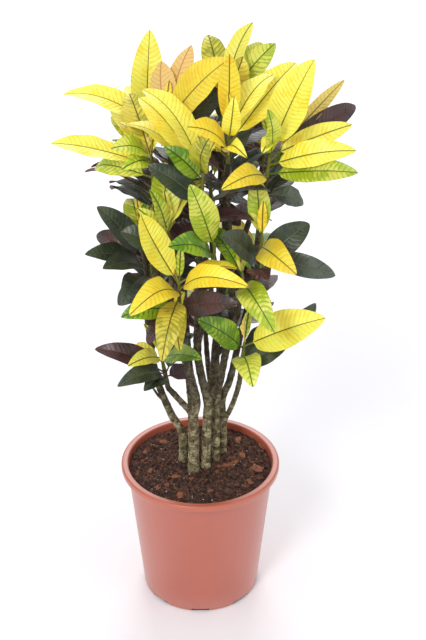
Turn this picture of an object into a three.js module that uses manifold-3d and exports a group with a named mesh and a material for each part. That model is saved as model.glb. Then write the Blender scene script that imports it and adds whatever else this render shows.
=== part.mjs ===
// A croton grown as a small tree in a terracotta-coloured nursery pot. Seven rooted stems stand in the
// soil. Each branch ends in a leafy head, with young yellow leaves round its tip and mature dark leaves
// below them. Millimetres, +Z up. The origin is the middle of the pot's flat underside, and the fullest
// side of the plant faces -Y.

import * as THREE from "three";
import { mergeVertices } from "three/addons/utils/BufferGeometryUtils.js";
import Module from "manifold-3d";

const wasm = await Module();
wasm.setup();

// ---------------------------------------------------------------- driving sizes

const FIT_GAP = 0.3;

const POT = {
  height: 252,
  footRadius: 99.8,
  wallSlope: 0.1018,
  wall: 2.5,
  rimRadius: 135,
  rimDepth: 11.5,
  lipRound: 2.5,
  stepBelowRim: 26,
  stepWidth: 1,
  stepSlope: 1.5,
  footRound: 5,
  floor: 3,
  channelRise: 7,
  channelInner: 58,
  channelOuter: 93,
  channelSlope: 2,
  sides: 32,
};
const DRAIN = { count: 8, width: 34, height: 6, depth: 16 };

// The soil's top, from its edge at the wall to its crown: each share of the radius has its share of the rise.
const SOIL = {
  edge: 240,
  crown: 248,
  mound: [
    { radius: 1, rise: 0 },
    { radius: 0.72, rise: 0.45 },
    { radius: 0.4, rise: 0.9 },
    { radius: 0, rise: 1 },
  ],
};
const HOLE_CLEARANCE = 0.6;

const STEM_SIDES = 7;
const SHOOT_SIDES = 5;
const SHOOT_RADII = { foot: 4.4, split: 3.4, tip: 2.2 };

const PETIOLE = 0.13;
const FINE_STATIONS = [0, PETIOLE, 0.3, 0.55, 0.8, 1];
const PLAIN_STATIONS = [0, PETIOLE, 0.38, 0.7, 1];
const SMALL_STATIONS = [0, PETIOLE, 0.52, 1];
const LEAF_FOLD = THREE.MathUtils.degToRad(13);
const EDGE_WAVE = 1.8;
// A leaf that arches less than this has fewer stations, and one of the spiral fewer still.
const PLAIN_ARCH = 24.5;
const SMALL_ARCH = 18.2;
const BLADE = { edge: 0.8, midrib: 1.8 };
const STALK_SECTIONS = {
  0: { half: 1.8, depth: 3.4 },
  [PETIOLE]: { half: 1.8, depth: 2.6 },
  1: { half: 0.8, depth: 1 },
};
const STALK_FLAT = 0.4;

// How far a leaf keeps from other leaves, from those of its own head, and from wood. Near its own stem,
// within NEAR_HOME of the head's foot, only its outer part has to keep clear.
const CLEAR_OF_LEAF = 6;
const CLEAR_IN_HEAD = 3.5;
const CLEAR_OF_STEM = 3.5;
const NEAR_HOME = 26;
const GOLDEN_ANGLE = 137.5;
const SEED = 131;

// The light that the leaves turn to: hand-placed leaves face the front of the room, the others straight up.
const ROOM_LIGHT = new THREE.Vector3(0, -0.64, 0.77);
const SKY_LIGHT = new THREE.Vector3(0, 0, 1);

// ---------------------------------------------------------------- stems, from the soil to the heads

// Each path starts in the soil or on the axis of its trunk, and ends at the foot of the head that it carries.
const STEMS = {
  stem_front: {
    trunk: {
      carries: "low_front",
      radii: [10, 5],
      path: [[-11, -26, 158], [-11, -26, 242], [-11, -27, 311], [-11, -27, 358], [-6, -28, 385],
        [-9, -33, 413], [-19, -41, 462], [-30, -54, 508]],
    },
    branches: [
      { carries: "low_left", radii: [6.2, 4.6], path: [[-11, -27, 352], [-17, -28, 370], [-34, -30, 393]] },
      { carries: "front_left", radii: [4.8, 4.4], path: [[-30, -54, 508], [-44, -46, 560], [-44, -47, 600]] },
    ],
  },
  stem_left: {
    trunk: {
      carries: "middle_left",
      radii: [7.4, 4.6],
      path: [[-30, 6, 158], [-30, 6, 242], [-31, 4, 304], [-46, 2, 338], [-59, 1, 373], [-71, 3, 412],
        [-80, 10, 470], [-86, 16, 540]],
    },
    branches: [
      { carries: "upper_left", radii: [4.8, 4.4], path: [[-80, 10, 470], [-72, 0, 560], [-65, -4, 640]] },
      { radii: [2.6, 1.8], path: [[-58, 1, 371], [-68, -6, 384], [-78, -10, 404]] },
    ],
  },
  stem_middle: {
    trunk: {
      carries: "top_front",
      radii: [8.6, 5],
      path: [[9, -15, 158], [9, -15, 242], [11, -14, 322], [13, -12, 375], [4, -10, 419], [-4, -12, 478],
        [-2, -20, 560], [0, -30, 640]],
    },
    branches: [
      { carries: "front_middle", radii: [4.8, 4.4], path: [[-4, -12, 478], [4, -30, 530], [13, -44, 570]] },
    ],
  },
  stem_right: {
    trunk: {
      carries: "top_right",
      radii: [7.6, 5],
      path: [[26, 10, 158], [26, 10, 242], [26, 8, 307], [28, 4, 371], [32, 0, 403], [40, -4, 454],
        [49, -6, 515], [52, -5, 573], [49, -7, 660]],
    },
    branches: [
      { carries: "low_middle", radii: [4.6, 4.4], path: [[49, -6, 515], [56, -26, 538]] },
    ],
  },
  stem_far_right: {
    trunk: {
      carries: "middle_right",
      radii: [7.2, 4.8],
      path: [[38, 32, 158], [38, 32, 242], [39, 30, 292], [37, 26, 356], [47, 22, 389], [55, 20, 425],
        [68, 10, 500], [80, -8, 560]],
    },
    branches: [
      { carries: "upper_right", radii: [4.8, 4.4], path: [[68, 10, 500], [80, 16, 560], [89, 15, 630]] },
      {
        carries: "low_right",
        radii: [4.4, 4.2],
        path: [[38, 28, 308], [45, 26, 324], [54, 10, 357], [63, -10, 403]],
      },
    ],
  },
  stem_back_left: {
    trunk: {
      carries: "top_left",
      radii: [9, 5],
      path: [[-8, 36, 158], [-8, 36, 242], [-12, 38, 320], [-20, 44, 420], [-26, 50, 520], [-30, 52, 620],
        [-34, 54, 690]],
    },
    branches: [
      { carries: "back_left_top", radii: [4.8, 4.4], path: [[-26, 50, 520], [-40, 64, 565], [-60, 80, 630]] },
      { carries: "back_left_low", radii: [4.8, 4.4], path: [[-20, 44, 420], [-38, 58, 450], [-58, 72, 480]] },
    ],
  },
  stem_back_right: {
    trunk: {
      carries: "top_back",
      radii: [9, 5],
      path: [[16, 46, 158], [16, 46, 242], [20, 50, 330], [26, 56, 430], [34, 58, 540], [42, 60, 660],
        [36, 62, 730]],
    },
    branches: [
      { carries: "back_right_top", radii: [4.8, 4.4], path: [[34, 58, 540], [54, 68, 590], [76, 82, 650]] },
      { carries: "back_right_low", radii: [4.8, 4.4], path: [[26, 56, 430], [46, 60, 446], [66, 66, 468]] },
      { carries: "back_middle", radii: [4.6, 4.4], path: [[34, 58, 540], [27, 82, 570], [21, 102, 602]] },
      { carries: "back_low", radii: [4.6, 4.4], path: [[20, 50, 330], [17, 68, 362], [13, 82, 394]] },
    ],
  },
};

// ---------------------------------------------------------------- heads and their leaves

// A head's shoot runs from its foot, where the branch ends, to its tip. The split is how far below the
// tip the mature leaves begin. Each leaf that is placed by hand gives its look, how far below the shoot's
// tip it grows, where its own tip lies, its width, how far it arches off the straight line, and how many
// degrees its upper face rolls to the right, seen from its root. `young` and `mature` are how many more
// leaves the spiral tries to add.
const HEADS = {
  top_left: {
    foot: [-40, 55, 746], tip: [-52, 60, 860], split: 52, young: 4, mature: 6, turn: 200,
    leaves: [
      ["amber", 16, [46, 10, 967], 62, 12, 0],
      ["gold", 34, [-210, 80, 884], 46, 25, 20],
      ["dark", 62, [40, 84, 900], 40, 8, 0],
      ["salmon", 8, [-58, 110, 927], 48, -8, 150],
      ["salmon", 12, [-12, 130, 946], 42, -10, 160],
    ],
  },

  top_back: {
    foot: [34, 62, 782], tip: [38, 70, 892], split: 52, young: 4, mature: 6, turn: 20,
    leaves: [
      ["olive", 14, [14, 150, 956], 40, 16, 0],
      ["gold", 10, [83, 120, 986], 36, 14, -20],
      ["lime", 20, [118, 110, 956], 44, 12, 0],
      ["lime", 34, [98, 150, 943], 44, 14, 10],
      ["ochre", 16, [67, 60, 953], 44, 8, 30],
    ],
  },

  top_right: {
    foot: [42, -12, 748], tip: [46, -20, 865], split: 54, young: 2, mature: 6, turn: 70,
    leaves: [
      ["amber", 10, [46, -20, 985], 34, -10, 0],
      ["amber", 30, [-15, -84, 898], 44, 14, 0],
      ["gold", 14, [52, -84, 945], 28, 10, 30],
      ["gold", 40, [71, -108, 860], 26, 22, 0],
      ["gold", 22, [150, 100, 928], 54, 14, 0],
    ],
  },

  upper_right: {
    foot: [95, 8, 702], tip: [112, 12, 835], split: 60, young: 2, mature: 6, turn: 300,
    leaves: [
      ["gold", 16, [168, -44, 986], 62, 8, 0],
      ["lime", 26, [101, -66, 918], 30, 10, 0],
      ["gold", 4, [95, -42, 838], 24, 14, 0],
      ["gold", 24, [232, 10, 863], 36, 20, 20],
      ["gold", 40, [236, -34, 839], 42, 20, 10],
      ["lime", 54, [236, -78, 823], 40, 10, 10],
      ["maroon", 26, [245, 100, 858], 38, 28, 20],
      ["sage", 88, [164, 30, 722], 34, 10, 0],
      ["salmon", 34, [226, 100, 900], 24, 16, 10],
      ["amber", 58, [34, -86, 799], 38, 22, -10],
    ],
  },

  top_front: {
    foot: [2, -39, 708], tip: [7, -50, 820], split: 50, young: 3, mature: 6, turn: 120,
    leaves: [
      ["gold", 14, [-90, 18, 903], 62, 14, 24],
      ["olive", 10, [16, -112, 892], 44, 12, 20],
      ["green", 24, [-49, -90, 870], 34, 14, -10],
      ["dark", 62, [-74, -96, 843], 40, 16, -10],
    ],
  },
  upper_left: {
    foot: [-66, -5, 717], tip: [-72, -10, 825], split: 48, young: 3, mature: 4, turn: 90,
    leaves: [
      ["gold", 20, [-222, -20, 845], 44, 8, 20],
      ["lime", 12, [-127, -84, 864], 40, 18, 0],
      ["lime", 30, [-112, -100, 838], 36, 22, 0],
      ["ochre", 10, [-108, 83, 884], 46, 14, 0],
      ["lime", 42, [-163, 51, 773], 36, 18, 0],
      ["dark", 62, [-171, 70, 766], 30, 14, 60],
      ["dark", 74, [-183, 91, 748], 36, 14, 60],
      ["sage", 86, [-143, 79, 734], 38, 12, 40],
    ],
  },
  front_left: {
    foot: [-42, -50, 642], tip: [-47, -62, 725], split: 42, young: 2, mature: 5, turn: 30,
    leaves: [
      ["lime", 8, [-53, -10, 810], 44, 10, 0],
      ["lime", 18, [-73, -74, 795], 24, 8, 20],
      ["lime", 28, [-91, -94, 773], 26, 10, 0],
      ["dark", 50, [-118, -70, 722], 44, 12, 0],
    ],
  },

  front_middle: {
    foot: [18, -50, 602], tip: [25, -62, 700], split: 46, young: 3, mature: 6, turn: 250,
    leaves: [
      ["lime", 14, [-13, -95, 812], 46, 8, 0],
      ["green", 26, [-44, -138, 731], 44, 18, 0],
    ],
  },

  middle_left: {
    foot: [-84, 18, 592], tip: [-94, 20, 690], split: 46, young: 4, mature: 5, turn: 160,
    leaves: [
      ["sage", 56, [-158, -10, 735], 42, 12, 0],
      ["maroon", 62, [-166, 60, 652], 40, 12, 0],
      ["dark", 70, [-175, -60, 678], 38, 14, 0],
      ["dark", 80, [-146, -90, 669], 40, 16, 0],
      ["sage", 90, [-117, -92, 610], 40, 18, 0],
    ],
  },

  low_front: {
    foot: [-31, -64, 554], tip: [-30, -82, 645], split: 46, young: 2, mature: 5, turn: 350,
    leaves: [
      ["gold", 10, [-84, -120, 775], 46, -10, 0],
      ["amber", 24, [-102, -187, 642], 46, 32, 0],
      ["amber", 18, [74, -160, 676], 42, 36, 0],
      ["ochre", 34, [-55, -190, 564], 42, 34, 0],
      ["ochre", 42, [-28, -172, 572], 34, 26, 10],
      ["maroon", 54, [60, -150, 642], 40, 20, 20],
      ["green", 60, [-118, -130, 607], 40, 18, 0],
      ["maroon", 70, [-80, -128, 560], 36, 18, 0],
    ],
  },

  middle_right: {
    foot: [88, -21, 602], tip: [98, -30, 695], split: 44, young: 3, mature: 5, turn: 220,
    leaves: [
      ["dark", 52, [170, -30, 716], 46, 16, 10],
      ["amber", 20, [146, -140, 686], 46, 24, 20],
      ["sage", 34, [212, -50, 636], 36, 32, 20],
      ["lime", 8, [87, 0, 782], 36, 8, 0],
      ["dark", 56, [32, -96, 728], 50, 12, 0],
      ["maroon", 80, [105, -120, 665], 38, 18, 0],
    ],
  },

  low_middle: {
    foot: [61, -42, 562], tip: [68, -62, 645], split: 42, young: 2, mature: 5, turn: 100,
    leaves: [
      ["lime", 16, [114, -168, 602], 44, 36, 10],
    ],
  },

  low_right: {
    foot: [66, -25, 434], tip: [72, -52, 520], split: 44, young: 1, mature: 2, turn: 40,
    leaves: [
      ["gold", 14, [195, -96, 586], 62, 16, 10],
      ["green", 20, [-3, -100, 586], 44, 14, -10],
      ["dark", 60, [138, -80, 526], 36, 16, 10],
      ["dark", 58, [190, 33, 540], 36, 26, 30],
      ["lime", 38, [84, -128, 480], 46, 22, 0],
    ],
  },

  low_left: {
    foot: [-52, -30, 417], tip: [-63, -34, 488], split: 34, young: 1, mature: 1, turn: 280,
    leaves: [
      ["maroon", 42, [-167, -56, 506], 38, 28, 0],
      ["gold", 12, [-112, -98, 500], 30, 12, 0],
      ["ochre", 20, [-112, 20, 458], 30, 12, 0],
      ["dark", 44, [-130, -98, 462], 34, 24, 0],
      ["dark", 54, [-88, -100, 455], 32, 16, 0],
      ["green", 14, [4, -130, 532], 36, 12, 0],
      ["maroon", 50, [-20, 22, 413], 34, 6, 0],
    ],
  },

  back_left_top: {
    foot: [-74, 90, 692], tip: [-86, 106, 795], split: 48, young: 5, mature: 6, turn: 0,
    leaves: [["gold", 4, [-76, 130, 971], 52, 10, 0]],
  },
  back_right_top: {
    foot: [92, 92, 702], tip: [108, 108, 805], split: 48, young: 5, mature: 6, turn: 60, leaves: [],
  },
  back_middle: {
    foot: [18, 117, 634], tip: [18, 140, 730], split: 46, young: 5, mature: 5, turn: 140,
    leaves: [
      ["dark", 56, [-28, 66, 586], 38, 10, 0],
      ["maroon", 62, [66, 60, 668], 38, 10, 0],
    ],
  },
  back_left_low: {
    foot: [-70, 82, 512], tip: [-84, 98, 600], split: 44, young: 4, mature: 5, turn: 210,
    leaves: [["sage", 50, [-136, 60, 522], 38, 12, 0]],
  },
  back_right_low: {
    foot: [80, 70, 494], tip: [98, 84, 584], split: 44, young: 4, mature: 6, turn: 320, leaves: [],
  },
  back_low: {
    foot: [10, 93, 430], tip: [6, 114, 515], split: 44, young: 4, mature: 6, turn: 80, leaves: [],
  },
};

const MATURE_LOOKS = ["dark", "maroon", "sage"];
const YOUNG_LOOKS = ["gold", "gold", "amber", "lime", "gold", "green"];

// How the spiral's leaves stand, from the topmost to the lowest of each tier: their rise in degrees, their
// length, and their width and arch as shares of it. `start` is the heading of a tier's first leaf.
const SPIRAL = {
  bud: { count: 2, start: 90, rise: [76, 66], length: 56, width: 0.26, arch: 0.06 },
  young: { start: 0, rise: [42, 8], length: 134, width: 0.37, arch: 0.14 },
  mature: { start: 60, rise: [24, -10], length: 122, width: 0.4, arch: 0.12 },
};

// How far the crown reaches to the left and to the right at each height. A spiral leaf whose tip would lie
// past that looks for another place.
const CROWN = [
  { height: 450, left: -108, right: 132 },
  { height: 620, left: -122, right: 136 },
  { height: 700, left: -148, right: 152 },
  { height: 800, left: -150, right: 200 },
  { height: 880, left: -120, right: 180 },
  { height: 950, left: -90, right: 106 },
];
const CROWN_TOP = 930;
const KEPT_FREE = 12;

// Where on the shoot a tier grows, measured down from its tip: buds in steps, the young leaves until short
// of the split, and the mature ones from below it until short of the foot.
const DROPS = { bud: 2, budStep: 4, young: 5, aboveSplit: 9, belowSplit: 11, aboveFoot: 8 };

// How much a spiral leaf's length, heading, rise and roll are scattered.
const SCATTER = { length: 0.24, heading: 16, rise: 12, roll: 24 };

// What a leaf tries, in turn, when it meets another one. A hand-placed leaf leans away from or towards the
// eye of someone standing in front, so the front view keeps its arrangement. A leaf of the spiral turns
// about its shoot and rises or drops.
const EYE = new THREE.Vector3(22, -2100, 1735);
const LEANS = [0, 10, -10, 20, -20, 30, -30, 42, -42];
const SWINGS = [[0, 0], [14, 0], [-14, 0], [0, 10], [0, -10], [26, 6], [-26, 6], [26, -10], [-26, -10],
  [40, 0], [-40, 0], [8, 20], [-8, -20], [56, 8], [-56, 8], [70, -6], [-70, -6]];

const SHORTER = [1, 0.74];

// ---------------------------------------------------------------- helpers

const vec = ([x, y, z]) => new THREE.Vector3(x, y, z);
const lerp = THREE.MathUtils.lerp;
const radians = THREE.MathUtils.degToRad;

// A seeded draw between 0 and 1, the same on every run.
function seededDraws(seed) {
  let state = seed >>> 0;
  return () => {
    state = (state + 0x6d2b79f5) >>> 0;
    let mixed = Math.imul(state ^ (state >>> 15), 1 | state);
    mixed = (mixed + Math.imul(mixed ^ (mixed >>> 7), 61 | mixed)) ^ mixed;
    return ((mixed ^ (mixed >>> 14)) >>> 0) / 4294967296;
  };
}

function solidFrom(positions, triangles) {
  return new wasm.Manifold(
    new wasm.Mesh({
      numProp: 3,
      vertProperties: new Float32Array(positions),
      triVerts: new Uint32Array(triangles),
    }),
  );
}

function solidFromGeometry(geometry) {
  geometry.deleteAttribute("normal");
  geometry.deleteAttribute("uv");
  const merged = mergeVertices(geometry, 1e-3);
  return solidFrom(merged.attributes.position.array, merged.index.array);
}

function geometryOf(solid) {
  const mesh = solid.getMesh();
  const geometry = new THREE.BufferGeometry();
  geometry.setAttribute("position", new THREE.BufferAttribute(mesh.vertProperties, 3));
  geometry.setIndex(new THREE.BufferAttribute(mesh.triVerts, 1));
  geometry.computeVertexNormals();
  return geometry;
}

// Closes a stack of rings, all with the same number of points, into one skin. `crossed` says for which
// sides of a ring the quad is split along its other diagonal, and `caps` lists a ring's end triangles.
function skin(rings, caps, crossed = () => false) {
  const count = rings[0].length;
  const positions = rings.flat().flatMap((p) => [p.x, p.y, p.z]);
  const triangles = [];
  for (let i = 0; i + 1 < rings.length; i++) {
    for (let k = 0; k < count; k++) {
      const a = i * count + k;
      const b = i * count + ((k + 1) % count);
      const c = b + count;
      const d = a + count;
      if (crossed(k)) triangles.push(a, b, d, b, c, d);
      else triangles.push(a, b, c, a, c, d);
    }
  }
  const last = (rings.length - 1) * count;
  for (const [a, b, c] of caps) {
    triangles.push(a, c, b);
    triangles.push(last + a, last + b, last + c);
  }
  return solidFrom(positions, triangles);
}

// ---------------------------------------------------------------- tubes

// A smooth path through the points, with one more point halfway along each stretch, by the four-point rule.
function smoothPath(points) {
  const path = [];
  for (let i = 0; i + 1 < points.length; i++) {
    const [a, b] = [points[i], points[i + 1]];
    const before = points[i - 1] ?? a;
    const after = points[i + 2] ?? b;
    const middle = a.clone().add(b).multiplyScalar(9 / 16);
    middle.addScaledVector(before.clone().add(after), -1 / 16);
    path.push(a, middle);
  }
  path.push(points[points.length - 1]);
  return path;
}

// A tapered tube whose rings lie square to the path. `endFacing` is where its last face looks, if given.
function tube(path, radii, sides, endFacing) {
  const last = path.length - 1;
  const rings = path.map((point, i) => {
    const ahead = path[Math.min(i + 1, last)];
    const behind = path[Math.max(i - 1, 0)];
    const along = i === last && endFacing ? endFacing : ahead.clone().sub(behind).normalize();
    const across = new THREE.Vector3(1, 0, 0).addScaledVector(along, -along.x).normalize();
    const third = along.clone().cross(across);
    const radius = lerp(radii[0], radii[1], i / last);
    return Array.from({ length: sides }, (_, k) => {
      const angle = (k / sides) * 2 * Math.PI;
      return point
        .clone()
        .addScaledVector(across, radius * Math.cos(angle))
        .addScaledVector(third, radius * Math.sin(angle));
    });
  });
  const caps = Array.from({ length: sides - 2 }, (_, k) => [0, k + 1, k + 2]);
  return skin(rings, caps);
}

// ---------------------------------------------------------------- leaves

// The midrib is a shallow arch from the root to the tip; `face` is the way the upper side looks.
function leafFrame(leaf) {
  const chord = leaf.tip.clone().sub(leaf.root);
  const along = chord.clone().normalize();
  const level = leaf.light.clone().addScaledVector(along, -along.dot(leaf.light)).normalize();
  const right = along.clone().cross(level);
  const roll = radians(leaf.roll);
  const face = level.clone().multiplyScalar(Math.cos(roll)).addScaledVector(right, Math.sin(roll));
  const side = along.clone().cross(face);
  return { chord, face, side };
}

function leafOutline(u) {
  if (u <= PETIOLE) return 0;
  const blade = (u - PETIOLE) / (1 - PETIOLE);
  return Math.sin(Math.PI * Math.min(1, blade) ** 0.95) ** 0.66;
}

// How far the midrib stands off its chord, as a share of the arch, and the slope of that: it is highest
// a little past halfway, so the tip hangs.
const bow = (u) => u * (1 - u) * (2 + 3.4 * u);
const bowSlope = (u) => 2 + 2.8 * u - 10.2 * u * u;

// A point of the leaf's middle surface: u runs from root to tip, k from the left edge (-1) to the right.
function leafPoint(leaf, frame, u, k) {
  const { chord, face, side } = frame;
  const along = chord.clone().addScaledVector(face, leaf.arch * bowSlope(u)).normalize();
  const normal = face.clone().addScaledVector(along, -face.dot(along)).normalize();
  const half = (leaf.width / 2) * leafOutline(u);
  const wave = EDGE_WAVE * leafOutline(u) * Math.sin(2 * Math.PI * (1.6 * u + leaf.phase) + 1.3 * k);
  const lift = Math.abs(k) * (half * Math.tan(LEAF_FOLD) + wave);
  const point = leaf.root
    .clone()
    .addScaledVector(chord, u)
    .addScaledVector(face, leaf.arch * bow(u))
    .addScaledVector(side, half * k)
    .addScaledVector(normal, lift);
  return { point, normal };
}

// Across the blade a ring has an upper and a lower point at each edge and at the midrib. Where the leaf is
// a stalk, and at its tip, the ring is a triangle with its flat side up, so some points fall together.
function leafRing(leaf, frame, u) {
  const stalk = STALK_SECTIONS[u];
  if (stalk) {
    const { point, normal } = leafPoint(leaf, frame, u, 0);
    const corner = (k, height) =>
      point.clone().addScaledVector(frame.side, k * stalk.half).addScaledVector(normal, height);
    const left = corner(-1, stalk.depth * STALK_FLAT);
    const right = corner(1, stalk.depth * STALK_FLAT);
    return [left, left, right, right, corner(0, stalk.depth * (STALK_FLAT - 1)), left];
  }
  const at = (k, face) => {
    const { point, normal } = leafPoint(leaf, frame, u, k);
    const thickness = k === 0 ? BLADE.midrib : BLADE.edge;
    return point.addScaledVector(normal, (face * thickness) / 2);
  };
  return [at(-1, 1), at(0, 1), at(1, 1), at(1, -1), at(0, -1), at(-1, -1)];
}

function leafSolid(leaf) {
  const frame = leafFrame(leaf);
  const fine = leaf.arch > PLAIN_ARCH ? FINE_STATIONS : PLAIN_STATIONS;
  const stations = leaf.length && leaf.arch < SMALL_ARCH ? SMALL_STATIONS : fine;
  const rings = stations.map((u) => leafRing(leaf, frame, u));
  const caps = [[0, 1, 4], [0, 4, 5], [1, 2, 3], [1, 3, 4]];
  return skin(rings, caps, (k) => k >= 3);
}

// ---------------------------------------------------------------- keeping leaves apart

// A leaf as rows of beads on its blade. Those past OUTER_PART of its length count as its outer part.
const BEAD_ROWS = 18;
const BEADS_ACROSS = [-1, -0.66, -0.33, 0, 0.33, 0.66, 1];
const BEAD_START = 0.15;
const OUTER_PART = 0.35;
const BALL_SPACING = 6;

function leafBeads(leaf) {
  const frame = leafFrame(leaf);
  const beads = [];
  for (let i = 0; i < BEAD_ROWS; i++) {
    const u = lerp(BEAD_START, 1, i / (BEAD_ROWS - 1));
    for (const k of BEADS_ACROSS) {
      beads.push({ at: leafPoint(leaf, frame, u, k).point, outer: u > OUTER_PART });
    }
  }
  return { node: leaf.node, beads, box: new THREE.Box3().setFromPoints(beads.map((b) => b.at)) };
}

function leavesMeet(a, b) {
  const sameNode = a.node === b.node;
  const gap = sameNode ? CLEAR_IN_HEAD : CLEAR_OF_LEAF;
  const limit = gap ** 2;
  if (!a.box.clone().expandByScalar(gap).intersectsBox(b.box)) return false;
  return a.beads.some((p) =>
    b.beads.some((q) => (!sameNode || (p.outer && q.outer)) && p.at.distanceToSquared(q.at) < limit),
  );
}

// Woody stems and shoots as rows of balls; a leaf may touch the shoot that it grows from.
function woodBalls(path, radii, owner) {
  const balls = [];
  for (let i = 0; i + 1 < path.length; i++) {
    const steps = Math.ceil(path[i].distanceTo(path[i + 1]) / BALL_SPACING);
    for (let s = 0; s < steps; s++) {
      const radius = lerp(radii[0], radii[1], (i + s / steps) / (path.length - 1));
      balls.push({ at: path[i].clone().lerp(path[i + 1], s / steps), radius, owner });
    }
  }
  balls.push({ at: path[path.length - 1], radius: radii[1], owner });
  return balls;
}

function woodMeets(leaf, wood, home) {
  return wood.some((ball) => {
    const limit = (ball.radius + CLEAR_OF_STEM) ** 2;
    const near = ball.owner === leaf.node || ball.at.distanceTo(home) < NEAR_HOME;
    return leaf.beads.some((bead) => (!near || bead.outer) && bead.at.distanceToSquared(ball.at) < limit);
  });
}

// ---------------------------------------------------------------- growing the heads

function shootOf(head) {
  const foot = vec(head.foot);
  const tip = vec(head.tip);
  const down = foot.clone().sub(tip).normalize();
  return { foot, tip, down, at: (drop) => tip.clone().addScaledVector(down, drop) };
}

function handLeaf(name, head, [look, drop, tip, width, arch, roll], draw) {
  const tier = drop < head.split ? "young" : "mature";
  return {
    node: `${tier}_${name}`,
    look,
    root: shootOf(head).at(drop),
    tip: vec(tip),
    width,
    arch,
    roll,
    phase: draw(),
    light: ROOM_LIGHT,
  };
}

// Hand-placed leaves fill the front of a head, so its spiral keeps to the back.
function openSide(head, heading) {
  const facesFront = Math.sin(radians(heading)) < 0;
  return head.leaves.length > 0 && facesFront ? -heading : heading;
}

function spiralLeaf(name, head, tier, index, count, draw) {
  const rule = SPIRAL[tier];
  const looks = tier === "mature" ? MATURE_LOOKS : YOUNG_LOOKS;
  const share = count > 1 ? index / (count - 1) : 0;
  const shoot = shootOf(head);
  const reach = shoot.foot.distanceTo(shoot.tip);
  const drop = {
    bud: DROPS.bud + DROPS.budStep * index,
    young: lerp(DROPS.young, head.split - DROPS.aboveSplit, share),
    mature: lerp(head.split + DROPS.belowSplit, reach - DROPS.aboveFoot, share),
  }[tier];
  const scattered = (width) => width * (draw() - 0.5);
  const length = rule.length * (1 + scattered(SCATTER.length));
  return {
    node: `${tier === "mature" ? "mature" : "young"}_${name}`,
    look: looks[Math.floor(draw() * looks.length)],
    root: shoot.at(drop),
    heading: openSide(head, head.turn + rule.start + index * GOLDEN_ANGLE + scattered(SCATTER.heading)),
    rise: lerp(rule.rise[0], rule.rise[1], share) + scattered(SCATTER.rise),
    length,
    width: length * rule.width,
    arch: length * rule.arch,
    roll: scattered(SCATTER.roll),
    phase: draw(),
    light: SKY_LIGHT,
  };
}

// The leaf with its tip leant by one of LEANS, or swung by one of SWINGS, first full and then shorter.
function tried(leaf, attempt) {
  if (leaf.tip) {
    if (attempt >= LEANS.length) return null;
    const sight = leaf.tip.clone().sub(EYE).normalize();
    return { ...leaf, tip: leaf.tip.clone().addScaledVector(sight, LEANS[attempt]) };
  }
  const share = SHORTER[Math.floor(attempt / SWINGS.length)];
  if (!share) return null;
  const [turn, lift] = SWINGS[attempt % SWINGS.length];
  const heading = radians(leaf.heading + turn);
  const rise = radians(leaf.rise + lift);
  const along = new THREE.Vector3(
    Math.cos(heading) * Math.cos(rise),
    Math.sin(heading) * Math.cos(rise),
    Math.sin(rise),
  );
  const [length, width, arch] = [leaf.length, leaf.width, leaf.arch].map((size) => size * share);
  return { ...leaf, length, width, arch, tip: leaf.root.clone().addScaledVector(along, length) };
}

function crownReach(side, z) {
  const next = CROWN.findIndex(({ height }) => z < height);
  if (next < 0) return CROWN[CROWN.length - 1][side];
  if (next === 0) return CROWN[0][side];
  const [low, high] = [CROWN[next - 1], CROWN[next]];
  return lerp(low[side], high[side], (z - low.height) / (high.height - low.height));
}

// Whether a spiral leaf reaches past the crown, or in front of leaves that were placed by hand.
function pastCrown({ length, tip, root }, head) {
  if (!length) return false;
  const inFront = head.leaves.length > 0 && tip.y < root.y - KEPT_FREE;
  return inFront || tip.z > CROWN_TOP || tip.x < crownReach("left", tip.z) || tip.x > crownReach("right", tip.z);
}

function growLeaves(wood) {
  const draw = seededDraws(SEED);
  const wanted = [];
  for (const [name, head] of Object.entries(HEADS)) {
    for (const row of head.leaves) wanted.push(handLeaf(name, head, row, draw));
  }
  for (const [name, head] of Object.entries(HEADS)) {
    for (const tier of ["bud", "young", "mature"]) {
      const count = tier === "bud" ? SPIRAL.bud.count : head[tier];
      for (let i = 0; i < count; i++) wanted.push(spiralLeaf(name, head, tier, i, count, draw));
    }
  }
  const grown = [];
  const placed = [];
  for (const leaf of wanted) {
    const name = leaf.node.slice(leaf.node.indexOf("_") + 1);
    const home = vec(HEADS[name].foot);
    for (let attempt = 0; ; attempt++) {
      const candidate = tried(leaf, attempt);
      if (!candidate) break;
      if (pastCrown(candidate, HEADS[name])) continue;
      const own = leafBeads(candidate);
      if (woodMeets(own, wood, home) || placed.some((other) => leavesMeet(own, other))) continue;
      placed.push(own);
      grown.push(candidate);
      break;
    }
  }
  return grown;
}

// ---------------------------------------------------------------- the pieces

const LOOKS = {
  pot: { color: 0xc47362, roughness: 0.55, metalness: 0 },
  soil: { color: 0x3a2c24, roughness: 0.95, metalness: 0 },
  bark: { color: 0x8a7f68, roughness: 0.9, metalness: 0 },
  young: { color: 0xf2d838, roughness: 0.4, metalness: 0 },
  mature: { color: 0x4a4a3c, roughness: 0.4, metalness: 0 },
};

const plant = new THREE.Group();

function add(name, solid, look) {
  const mesh = new THREE.Mesh(geometryOf(solid), new THREE.MeshStandardMaterial(LOOKS[look]));
  mesh.name = name;
  plant.add(mesh);
}

const wallRadius = (z) => POT.footRadius + POT.wallSlope * z;

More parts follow.
